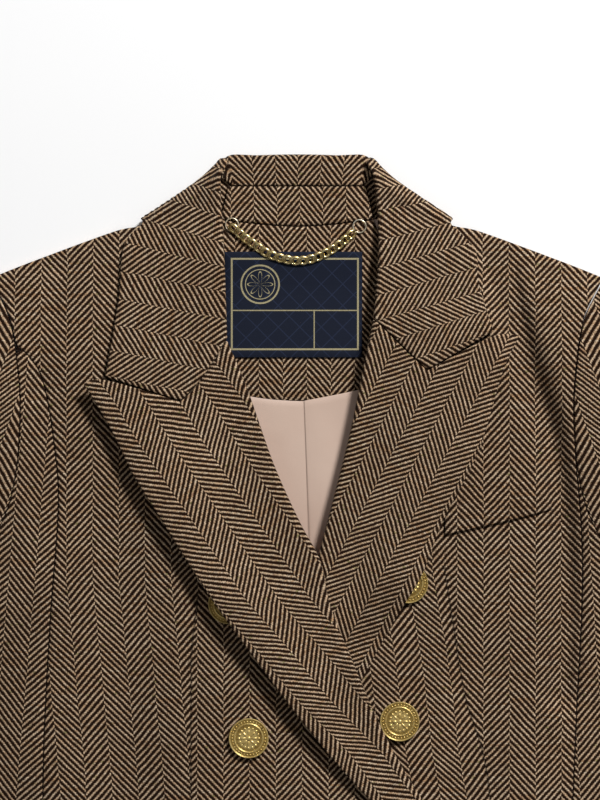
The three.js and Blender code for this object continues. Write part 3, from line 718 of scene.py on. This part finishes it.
def addLabel():
    s = labelShape
    left, right, top, bottom = s["left"], s["right"], s["top"], s["bottom"]
    plan = patch(spread([[left, top], [right, top]], 20), spread([[left, bottom], [right, bottom]], 20),
                 spread([[left, top], [left, bottom]], 20), spread([[right, top], [right, bottom]], 20))
    grid = fitted(plan, 3.0, 0.5)
    middle, over, under = upright(grid, lambda x, y, u, v: facingTop(x, y) + cut["seam"], s["thick"])
    piece = buildCloth("label", over, under, grain(middle, 0, left, top), labelCloth)
    settle(piece, "neck_label")


# The stand between the neck seam and the fall of the collar: thin at the fold, full at the seam
def addStand():
    high = cut["standSeamDown"] + cut["seam"]
    top = spread([[-45, high], [0, high], [45, high]], 50)
    bottom = spread(neckSeam, 50) + [0, cut["seam"]]
    left, right = (spread([[side * 45, high], [side * 50, 42.9]], 14) for side in (-1, 1))
    grid = fitted(patch(top, bottom, left, right), 2.4, 0.7)
    x, y, u, v, full = np.moveaxis(grid, 2, 0)
    rise = mix(cut["cloth"], facingTop(0, -cut["neckSeamDown"]) - cut["collarUnder"], v)
    under = np.stack([x, y, cut["collarUnder"] + 0 * x], axis=2)
    over = np.stack([x, y, cut["collarUnder"] + rise * full], axis=2)
    weave = grain(over, 0, 2.0, 21.0) * [17 / 15.0, 1]
    piece = buildCloth("stand", over, under, weave, tweed)
    settle(piece, "collar_stand")


# Fronts: from the armhole and the princess seam to the roll line, and below the break to the edge
def drawnBack(line, distance):
    run = np.gradient(line, axis=0)
    run /= np.linalg.norm(run, axis=1, keepdims=True)
    return line + np.stack([-run[:, 1], run[:, 0]], axis=1) * distance


def frontInner(half):
    neckRun = spread(half["neck"], 24)
    rollRun = drawnBack(spread(half["rollLapel"], 96), half["side"] * cut["frontInset"])
    rollRun = rollRun[(rollRun[:, 1] < neckRun[-1][1] - 8) & (rollRun[:, 1] > -430)]
    edge = spread([[half["frontEdge"], 452], [half["frontEdge"], cut["hemDown"]]], 60)
    fine = np.concatenate([neckRun, rollRun, edge])
    return alongLine(fine, np.linspace(0, 1, 241))


frontGrain = {"right": (0, -132.6, 0), "left": (0, 104.0, 0)}
panelGrain = {"right": (-5, -163.0, 0), "left": (4, 172.2, 0)}


def addFront(half):
    side, name = half["side"], half["name"]
    arm = armhole(side, 0, half["armRuns"])
    outer = joined(arm, spread(half["princess"], 200)) - [side * cut["seam"], 0]
    outer = alongLine(outer, np.linspace(0, 1, 241))
    top = spread(sided(shoulderEdge, side), 60)
    bottom = spread([[half["frontEdge"], cut["hemDown"]], [outer[-1][0], cut["hemDown"]]], 60)
    grid = fitted(patch(top, bottom, frontInner(half), outer), spacing["front"], spacing["edge"])
    middle, over, under = upright(grid, lambda x, y, u, v: frontUnder(name, x, y) - dartDip(name, x, y), cut["cloth"])
    x, y = middle[..., 0], middle[..., 1]
    lines = {"dart": dartAway(name, x, y) / 1000, "lean": dartLean(name, x, y) / 1000}
    piece = buildCloth("front_cloth_" + name, over, under, grain(middle, *frontGrain[name]), tweed, insideOut, lines)
    settle(piece, "front_" + name)
    if name == "left":      # the part's solid is parted along the dart
        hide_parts("front_left_side")


def addSidePanel(half):
    side, name = half["side"], half["name"]
    outer = joined(armhole(side, half["armRuns"]), spread(sided(sideEdge, side), 100))
    outer = alongLine(outer, np.linspace(0.01, 1, 161))
    inner = alongLine(spread(half["princess"], 160), np.linspace(0.01, 1, 161)) + [side * cut["seam"], 0]
    ends = [np.array([mix(inner[k], outer[k], t) for t in np.linspace(0, 1, 31)]) for k in (0, -1)]
    grid = fitted(patch(ends[0], ends[1], inner, outer), spacing["panel"], spacing["edge"])
    middle, over, under = upright(grid, lambda x, y, u, v: frontUnder(name, x, y), cut["cloth"])
    piece = buildCloth("side_cloth_" + name, over, under, grain(middle, *panelGrain[name]), tweed, insideOut)
    settle(piece, "side_panel_" + name)


# Sleeves: an upper and an under piece that meet along both sides of the arm
def addSleeve(half):
    side, name = half["side"], half["name"]
    inner = joined(armhole(side), spread(sided(sleeveInner, side), 100)) + [side * 2 * cut["seam"], -cut["seam"]]
    inner = alongLine(inner, np.linspace(0, 1, 181))
    outer = spread(sided(sleeveOuter, side), 180)
    ends = [np.array([mix(inner[k], outer[k], t) for t in np.linspace(0, 1, 41)]) for k in (0, -1)]
    grid = fitted(patch(ends[0], ends[1], inner, outer), spacing["panel"], spacing["edge"])
    for kind, height, lined in (("upper", lambda x, y, u, v: frontUnder("left", x, y), insideOut),
                                ("under", lambda x, y, u, v: backUnder(x, y), insideUp)):
        middle, over, under = upright(grid, height, cut["cloth"])
        piece = buildCloth(f"{kind}_sleeve_cloth_{name}", over, under, armGrain(middle), tweed, lined)
        settle(piece, f"{kind}_sleeve_{name}")


# The weave of a sleeve follows the middle of the arm
armMiddle = {"down": [81, 330, 400, 460, 640], "across": [222, 309, 323, 326, 326]}


def armGrain(middle):
    down = -middle[..., 1]
    away = np.abs(middle[..., 0]) - np.interp(down, armMiddle["down"], armMiddle["across"])
    return np.stack([away, down], axis=-1)


# Lapels: they turn round the front at the roll line and spring off it at their outer edge
lapelWeave = {      # the grain, how close the columns lie, and how far they move at each depth
    "right": {"grain": (36.0, -80.6, 224.3), "close": 1.0, "down": [160, 193, 226, 258, 291, 323, 356, 388],
              "move": [10.5, 13.7, 14.7, 15.8, 16.8, 13.1, 11, 4.2]},
    "left": {"grain": (-28.0, 127.4, 128.0), "close": 1.1, "down": [128, 388], "move": [11.9, 11.9]},
}


def lapelPlace(name, flat):
    w = lapelWeave[name]
    place = grain(flat, *w["grain"]) * [w["close"], cut["finer"]]
    place[..., 0] += np.interp(-flat[..., 1], w["down"], w["move"])
    return place


def lapelHeight(half, front, x, y, u, v):
    side = half["side"]
    pressed = ease(270, 325, -y) if side > 0 else ease(0.62, 1.0, v)
    spring = cut["lapelSpring"] * ease(0.15, 1, u) * (1 - pressed)
    for row, across, down, _ in buttonRows:
        if row == "button_upper_" + half["name"]:
            spring = spring + 2.7 * np.exp(-(np.hypot(x - across, y + down) / 24)**2)
    return frontTop(front, x, y) + cut["layer"] + cut["cloth"] / 2 + spring


# One cross-section from the roll line outwards: the turn, then the fall, with the place of
# each point on the cloth before it was turned
def rolledLine(row, radius, start, height):
    thick = cut["cloth"]
    inset = radius + thick / 2
    plan = row[:, :2]
    length = np.concatenate([[0], np.cumsum(np.linalg.norm(np.diff(plan, axis=0), axis=1))])
    out = plan[len(plan) // 6] - plan[0]
    out /= np.linalg.norm(out)
    at = np.linspace(inset, max(length[-1], inset + 3), 60)
    fall = np.stack([np.interp(at, length, row[:, k]) for k in range(3)], axis=1)
    fall[:, :2] += out * np.maximum(at - length[-1], 0)[:, None]
    z = height(fall[:, 0], fall[:, 1], fall[:, 2])
    bend = np.radians(np.linspace(start, 90, 16))[:-1]
    middle = fall[0, :2]
    turn = middle - out * (radius * np.cos(bend))[:, None]
    turnUp = z[0] - radius + radius * np.sin(bend)
    flat = middle - out * (radius * (np.pi / 2 - bend))[:, None]
    line = np.column_stack([np.concatenate([turn, fall[:, :2]]), np.concatenate([turnUp, z]),
                            np.concatenate([flat, fall[:, :2]])])
    if start <= -90:      # a short return under the roll
        inner = np.concatenate([turn[0] + out * 1.5, [turnUp[0]], flat[0] - out * 1.5])
        line = np.concatenate([inner[None], line])
    return line


def rolledCloth(name, lines, step, weave):
    grid = fitted(lines, step, spacing["edge"], 3, (8.0, 8))
    middle, full = grid[:, :, :3], grid[:, :, 5]
    lift = normalsOf(middle) * (full * cut["cloth"] / 2)[:, :, None]
    return middle, buildCloth(name, middle + lift, middle - lift, weave(grid[:, :, 3:5]), tweed)


def addLapel(half):
    rows, name = 120, half["name"]
    top = joined(spread(half["gorge"], 24), spread(half["peak"], 32))
    left, right = spread(half["rollLapel"], rows), spread(half["lapelEdge"], rows)
    bottom = mix(left[-1], right[-1], np.linspace(0, 1, len(top))[:, None])
    plan = patch(top, bottom, left, right)
    lines = [rolledLine(row, cut["rollRadius"], -45, lambda x, y, u, v=row[0, 3]: lapelHeight(half, name, x, y, u, v))
             for row in plan]
    middle, piece = rolledCloth("lapel_cloth_" + name, lines, spacing["lapel"],
                                lambda flat: lapelPlace(name, flat))
    settle(piece, "lapel_" + name)


# The collar's fall: a leaf on each front, round the shoulder edges and under the back
# Its weave crosses each leaf: where the columns meet the roll line, and how steeply they rise
leafWeave = {
    "right": {"down": [1.4, 42.3, 59.8, 74.8, 91, 108.6, 126.8], "rise": [0.3, 0.32, 0.3, 0.24, 0.2, 0.18, 0.2]},
    "left": {"down": [1.4, 37, 58.5, 76, 93.6, 109.9, 126], "rise": [0.2, 0.15, 0.26, 0.28, 0.28, 0.28, 0.33]},
    "columns": [56.5, 102, 119, 136, 153, 170, 187], "roll": 47.0, "slant": 13.0,
}


def leafPlace(half, flat):
    w = leafWeave[half["name"]]
    out = flat[..., 0] * half["side"] - leafWeave["roll"]
    down = -flat[..., 1]
    rise = np.interp(down + out * 0.25, w["down"], w["rise"])
    meet = down + out * rise
    first, last = w["down"][0], w["down"][-1]
    u = np.interp(meet, w["down"], leafWeave["columns"]) + np.minimum(meet - first, 0) + np.maximum(meet - last, 0)
    slant = math.radians(leafWeave["slant"])
    return np.stack([u, (out * math.cos(slant) - down * math.sin(slant)) * cut["finer"]], axis=-1)


def leafLines(half):
    rows = 40
    left = spread(half["rollCollar"], rows)[::-1].copy()
    gorgeUp = spread(half["gorge"], 24) + [0, 1]
    lower = joined(gorgeUp, spread(half["leafEnd"], 24))
    outer = spread(half["leafEdge"], rows)
    wrap = spread(sided(wrapLine, half["side"]), 48)
    left[0] = gorgeUp[0]
    plan = patch(lower, wrap, left, outer)

    def height(x, y, u, v):
        return frontTop(half["name"], x, y) + cut["layer"] + 0.5 + cut["cloth"] / 2 + 1.6 * ease(0.2, 1, u) * (1 - v)

    return [rolledLine(row, mix(cut["rollRadius"], cut["neckRadius"], ease(0.4, 1, row[0, 3])), -90,
                       lambda x, y, u, v=row[0, 3]: height(x, y, u, v)) for row in plan[:-1]]


def section(centre, out, up, radius, inner, fall, flatStart, flatOut, flatFall):
    bend = np.radians(np.linspace(-90, 90, 16))[:-1]
    turn = centre + up * (radius * np.sin(bend))[:, None] - out * (radius * np.cos(bend))[:, None]
    flat = flatStart - flatOut * (radius * (np.pi / 2 - bend))[:, None]
    line = np.column_stack([np.concatenate([turn, fall]), np.concatenate([flat, flatFall])])
    first = np.concatenate([inner, flat[0] - flatOut * np.linalg.norm(inner - turn[0])])
    return np.concatenate([first[None], line])


def wrapLines(half):
    side = half["side"]
    line = spread(sided(wrapLine, side), 40)
    run = (line[-1] - line[0]) / np.linalg.norm(line[-1] - line[0])
    out = np.array([run[0], run[1], 0])
    beside = np.array([-run[1] * side, run[0] * side, 0])
    vertical = np.array([0, 0, 1.0])
    middle = cut["wrapRadius"] + cut["cloth"] / 2
    lines = []
    for degrees in np.linspace(0, 180, 15):
        a = math.radians(degrees)
        up = vertical * math.cos(a) + beside * math.sin(a)
        radius = mix(cut["neckRadius"], cut["backRadius"], degrees / 180)
        fall = np.column_stack([line, np.full(len(line), middle)]) + up * cut["wrapRadius"]
        pull = 3.4 * ease(90, 180, degrees) * (1 - np.linspace(0, 1, len(line)))**2
        fall[:, :2] += beside[:2] * pull[:, None]
        centre = fall[0] - up * radius
        down = mix(np.array([0, -1.0, 0]), out, 1 - ease(0, 90, degrees))
        down /= np.linalg.norm(down)
        inner = centre - up * radius + down * mix(3, 12.5, ease(0, 135, degrees))
        flatFall = line + beside[:2] * cut["wrapRadius"] * a
        lines.append(section(centre, out, up, radius, inner, fall[1:], flatFall[0], run, flatFall[1:]))
    return lines


def underLine(side, t):
    (rollAcross, rollDown), (edgeAcross, edgeDown) = wrapLine[0], wrapLine[-1]
    radius = cut["backRadius"]
    low = cut["cloth"] / 2
    start = np.array([side * mix(rollAcross, 0, t), -mix(rollDown / 2, low + radius, ease(0, 0.15, t))])
    end = np.array([side * mix(edgeAcross, 0, t), -mix(edgeDown, cut["fallUnderDepth"], math.sin(t * math.pi / 2))])
    share = np.linspace(0, 1, 41)[:, None]
    fall = np.column_stack([mix(start, end, share), np.full(41, low)])
    centre = np.array([start[0], start[1], low + radius])
    inner = np.array([start[0] * 0.94, -cut["standSeamDown"] + cut["seam"], low + 2 * radius])
    flat = fall[:, :2] * [1, 1]
    return section(centre, np.array([0, -1.0, 0]), np.array([0, 0, -1.0]), radius, inner, fall[1:], flat[0],
                   np.array([0, -1.0]), flat[1:])


# Under the back the columns turn, little by little, to run down from the fold at the centre
def placed(half):
    side = half["side"]
    before = [np.column_stack([line[:, :3], leafPlace(half, line[:, 3:5]) * [side, 1]])
              for line in leafLines(half) + wrapLines(half)]
    last = evenly(before[-1])
    behind = []
    for t in np.linspace(0.06, 1, 15):
        line = evenly(underLine(side, t))
        length = np.concatenate([[0], np.cumsum(np.linalg.norm(np.diff(line[:, :3], axis=0), axis=1))])
        line[:, 3] = last[np.maximum(np.arange(len(last)), crest), 3] * (1 - t)
        straight = last[crest, 4] + length - length[crest]
        line[:, 4] = np.where(np.arange(len(last)) < crest, straight, mix(last[:, 4], straight, ease(0, 0.5, t)))
        behind.append(line)
    return before, behind


foldAt = 8      # the crest of the fold, counted along a cross-section
crest = 19      # and where it lies once its points are spread evenly


def evenly(line):
    parts = []
    for part, count in ((line[:foldAt + 1], crest + 1), (line[foldAt:], 2 * crest + 2)):
        length = np.concatenate([[0], np.cumsum(np.linalg.norm(np.diff(part[:, :3], axis=0), axis=1))])
        at = np.linspace(0, length[-1], count)
        parts.append(np.stack([np.interp(at, length, part[:, k]) for k in range(part.shape[1])], axis=1))
    return joined(*parts)


def addCollarFall():
    (rightLeaf, rightBack), (leftLeaf, leftBack) = placed(rightSide), placed(leftSide)
    lines = rightLeaf + rightBack + leftBack[-2::-1] + leftLeaf[::-1]
    grid = fitted(lines, spacing["collar"], spacing["edge"], 3, (9.0, 10))
    middle, full, weave = grid[:, :, :3], grid[:, :, 5], grid[:, :, 3:5]
    lift = normalsOf(middle) * (full * cut["cloth"] / 2)[:, :, None]
    piece = buildCloth("collar_cloth", middle + lift, middle - lift, weave - [0.65, 0], tweed)
    settle(piece, "collar_fall")


welt = {
    "upper": [[96, 232.8], [106.6, 229.2], [121, 223], [137, 214.5], [161, 206]],
    "lower": [[96, 248], [103, 246.4], [121, 242.4], [138, 238.6], [165.8, 231.4]],
    "cloth": 1.5,
}


def addWelt():
    upper, lower = welt["upper"], welt["lower"]
    plan = patch(spread(upper, 40), spread(lower, 40), spread([upper[0], lower[0]], 12),
                 spread([upper[-1], lower[-1]], 12))
    grid = fitted(plan, 2.5, 0.75)
    middle, over, under = upright(grid, lambda x, y, u, v: frontTop("left", x, y) + 0.8, welt["cloth"])
    piece = buildCloth("welt_cloth", over, under, grain(middle, *frontGrain["left"]), tweed)
    settle(piece, "breast_welt")


for half in (rightSide, leftSide):
    addFront(half)
    addSidePanel(half)
    addSleeve(half)
    addLapel(half)
addBack()
addLining()
addFacing()
addLabel()
addStand()
addCollarFall()
addWelt()
print("cloth pieces made")


# Hard pieces, modelled with Blender's own tools
def startWith(operator, **settings):
    bpy.ops.object.select_all(action="DESELECT")
    operator(**settings)
    return bpy.context.active_object


def finishHard(piece, name, node, finish=brass):
    bpy.ops.object.select_all(action="DESELECT")
    piece.select_set(True)
    bpy.context.view_layer.objects.active = piece
    bpy.ops.object.transform_apply(location=True, rotation=True, scale=True)
    bpy.ops.object.shade_smooth_by_angle(angle=math.radians(40))
    piece.name = name
    piece.data.name = name
    piece.data.materials.clear()
    piece.data.materials.append(finish)
    if node:
        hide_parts(node)
    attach(piece, "root")
    return piece


def joinAll(parts):
    bpy.ops.object.select_all(action="DESELECT")
    for part in parts:
        part.select_set(True)
    bpy.context.view_layer.objects.active = parts[0]
    bpy.ops.object.join()
    return bpy.context.active_object


# Rings of relief from the middle of the button's face outwards are cut from its rim inwards:
# each row is how far in, then how far up
button = {
    "radius": 0.0128, "shank": 0.0035, "body": 0.0021, "shankHeight": 0.0007,
    "steps": [(0.0006, 0.0), (0.0003, -0.0005), (0.0022, 0.0), (0.0003, 0.0005), (0.0005, 0.0),
              (0.0003, -0.0005), (0.0020, 0.0002), (0.0030, 0.0003)],
    "beads": 34, "bead": 0.00062, "beadAt": 0.01075,
    "outer": {"size": 0.0009, "scale": (1.2, 0.8, 0.55), "at": 0.0064},
    "petals": 8,
}


def addButton(name, across, down, front):
    spot = np.array([across]), np.array([-down])
    base = (float(frontTop(front, *spot)[0]) + 0.4) / 1000
    x, y = across / 1000, (cut["midDown"] - down) / 1000
    shank = startWith(bpy.ops.mesh.primitive_cylinder_add, vertices=24, radius=button["shank"],
                      depth=button["shankHeight"] + 0.0004, location=(x, y, base + button["shankHeight"] / 2 + 0.0002))
    disc = startWith(bpy.ops.mesh.primitive_cylinder_add, vertices=96, radius=button["radius"], depth=button["body"],
                     location=(x, y, base + button["shankHeight"] + button["body"] / 2))
    bpy.ops.object.mode_set(mode="EDIT")
    bpy.ops.mesh.select_all(action="DESELECT")
    bpy.ops.object.mode_set(mode="OBJECT")
    for face in disc.data.polygons:
        face.select = face.normal.z > 0.9
    bpy.ops.object.mode_set(mode="EDIT")
    bpy.ops.mesh.select_mode(type="FACE")
    for inset, lift in button["steps"]:
        bpy.ops.mesh.inset(thickness=inset, depth=0)
        bpy.ops.transform.translate(value=(0, 0, lift))
    bpy.ops.mesh.select_all(action="DESELECT")
    bpy.ops.object.mode_set(mode="OBJECT")
    bevel = disc.modifiers.new("edges", "BEVEL")
    bevel.width = 0.0002
    bevel.segments = 2
    bevel.limit_method = "ANGLE"
    bevel.angle_limit = math.radians(25)
    bpy.ops.object.modifier_apply(modifier="edges")
    top = base + button["shankHeight"] + button["body"]
    parts = [shank, disc]
    bead = startWith(bpy.ops.mesh.primitive_uv_sphere_add, segments=8, ring_count=6, radius=button["bead"],
                     location=(x + button["beadAt"], y, top - 0.0006))
    parts.append(ringOf(bead, button["beads"], x, y, top))
    petal = startWith(bpy.ops.mesh.primitive_uv_sphere_add, segments=12, ring_count=8, radius=0.0012,
                      scale=(1.7, 0.72, 0.6), location=(x + 0.0036, y, top - 0.0002))
    parts.append(ringOf(petal, button["petals"], x, y, top))
    leaf = startWith(bpy.ops.mesh.primitive_uv_sphere_add, segments=12, ring_count=8, radius=button["outer"]["size"],
                     scale=button["outer"]["scale"], location=(x + button["outer"]["at"], y, top - 0.0003))
    parts.append(ringOf(leaf, 2 * button["petals"], x, y, top))
    parts.append(startWith(bpy.ops.mesh.primitive_uv_sphere_add, segments=20, ring_count=10, radius=0.0014,
                           scale=(1, 1, 0.6), location=(x, y, top)))
    piece = finishHard(joinAll(parts), name + "_brass", name)
    piece.data.materials.append(recessShadeBrass)      # the sunk faces take a darker brass: painted shade in the recesses
    for face in piece.data.polygons:
        if face.normal.z > 0.9 and top - 0.0009 < face.center.z < top - 0.0002:
            face.material_index = 1


def ringOf(part, count, x, y, z):
    bpy.ops.object.transform_apply(location=True, rotation=True, scale=True)
    bpy.ops.object.mode_set(mode="EDIT")
    bpy.ops.mesh.select_all(action="SELECT")
    bpy.ops.mesh.spin(steps=count, dupli=True, angle=2 * math.pi, center=(x, y, z), axis=(0, 0, 1))
    bpy.ops.mesh.select_all(action="SELECT")
    bpy.ops.mesh.remove_doubles(threshold=0.00001)
    bpy.ops.mesh.normals_make_consistent(inside=False)
    bpy.ops.mesh.select_all(action="DESELECT")
    bpy.ops.object.mode_set(mode="OBJECT")
    return part


hanger = {
    "line": [[-43, 47.4], [-39.3, 50.4], [-33.2, 55.5], [-25.6, 60.9], [-18.2, 65.5], [-9.1, 68.5], [0, 69.9],
             [9.1, 68.8], [16.9, 65.9], [24.4, 61.6], [30.4, 57.1], [37, 51.4]],
    "links": 18, "long": 0.0043, "wide": 0.0037, "wire": 0.00112, "tilt": 40,
    "rings": {"right": [-42.4, 46.4], "left": [40.7, 47.4]}, "ringRadius": 0.0042, "ringWire": 0.00044,
    "thick": 2.4, "labelTop": 64,
}


def addHanger():
    lying = float(facingTop(np.array([0.0]), np.array([-float(hanger["labelTop"])]))[0]) + 1.8 + hanger["thick"] / 2
    line = alongLine(spread(hanger["line"], 200), np.linspace(0, 1, 2 * hanger["links"] + 1))
    parts = []
    for k in range(hanger["links"]):
        spot, run = line[2 * k + 1], line[2 * k + 2] - line[2 * k]
        x, y = spot[0] / 1000, (spot[1] + cut["midDown"]) / 1000
        tilt = math.radians(hanger["tilt"])
        link = startWith(bpy.ops.mesh.primitive_torus_add, major_radius=hanger["long"] - hanger["wire"],
                         minor_radius=hanger["wire"], major_segments=28, minor_segments=10,
                         location=(x, y, lying / 1000),
                         rotation=(tilt, 0, math.atan2(run[1], run[0])))
        link.scale = (1.0, hanger["wide"] / hanger["long"], 1.0)
        bpy.ops.object.transform_apply(location=True, rotation=True, scale=True)
        parts.append(link)
    finishHard(joinAll(parts), "hanger_links", "hanger_chain", chainBrass)
    for side, (across, down) in hanger["rings"].items():
        seat = float(facingTop(np.array([0.0]), np.array([-cut["neckSeamDown"]]))[0]) + 1.1
        ring = startWith(bpy.ops.mesh.primitive_torus_add, major_radius=hanger["ringRadius"],
                         minor_radius=hanger["ringWire"], major_segments=48, minor_segments=12,
                         location=(across / 1000, (cut["midDown"] - down) / 1000, seat / 1000))
        finishHard(ring, "ring_" + side, "hanger_ring_" + side, pale)


for row in buttonRows:
    addButton(*row)
addHanger()
print("hard pieces made")

# The table, the lights and the camera
stage = {"floor": 8.0, "low": 0.0004, "key": (1.34, 2.34, 2.20), "keySize": 0.55, "keyPower": 134.0,
         "fill": (-1.1, -0.5, 1.5), "fillSize": 1.6, "fillPower": 2.0, "sky": 0.16}


def makeFloor():
    n = Nodes("pale floor")
    tone = n.ranged(n.noise(n.object(), 3.0, 2.0), 0.3, 0.7, (0.985, 1.0))
    n.set(Base_Color=n.mixed(1.0, paint(250, 250, 250), n.vector(tone, tone, tone), "MULTIPLY"), Roughness=0.9)
    floor = startWith(bpy.ops.mesh.primitive_plane_add, size=stage["floor"], location=(0, 0, -stage["low"]))
    floor.name = "floor"
    floor.data.materials.append(n.material)


def addLamp(name, place, size, power, aim):
    data = bpy.data.lights.new(name, "AREA")
    data.size = size
    data.energy = power
    lamp = bpy.data.objects.new(name, data)
    lamp.location = place
    lamp.rotation_euler = (Vector(aim) - Vector(place)).to_track_quat("-Z", "Y").to_euler()
    bpy.context.scene.collection.objects.link(lamp)


camera = {"lens": 200.0, "sensor": 36.0, "high": 0.520, "across": 0.00195, "up": 0.20295, "level": 0.012}


def addCamera():
    data = bpy.data.cameras.new("view")
    data.lens = camera["lens"]
    data.sensor_width = camera["sensor"]
    away = camera["high"] * camera["lens"] / camera["sensor"]
    eye = bpy.data.objects.new("view", data)
    eye.location = (camera["across"], camera["up"], camera["level"] + away)
    bpy.context.scene.collection.objects.link(eye)
    bpy.context.scene.camera = eye


makeFloor()
aim = (camera["across"], camera["up"], 0.0)
addLamp("key", stage["key"], stage["keySize"], stage["keyPower"], aim)
addLamp("fill", stage["fill"], stage["fillSize"], stage["fillPower"], aim)
world = bpy.data.worlds.new("studio")
world.use_nodes = True
bpy.context.scene.world = world
sky = world.node_tree.nodes["Background"]
sky.inputs["Color"].default_value = (1.0, 1.0, 1.0, 1)
sky.inputs["Strength"].default_value = stage["sky"]
bpy.context.scene.view_settings.view_transform = "Standard"
addCamera()
print("stage made")
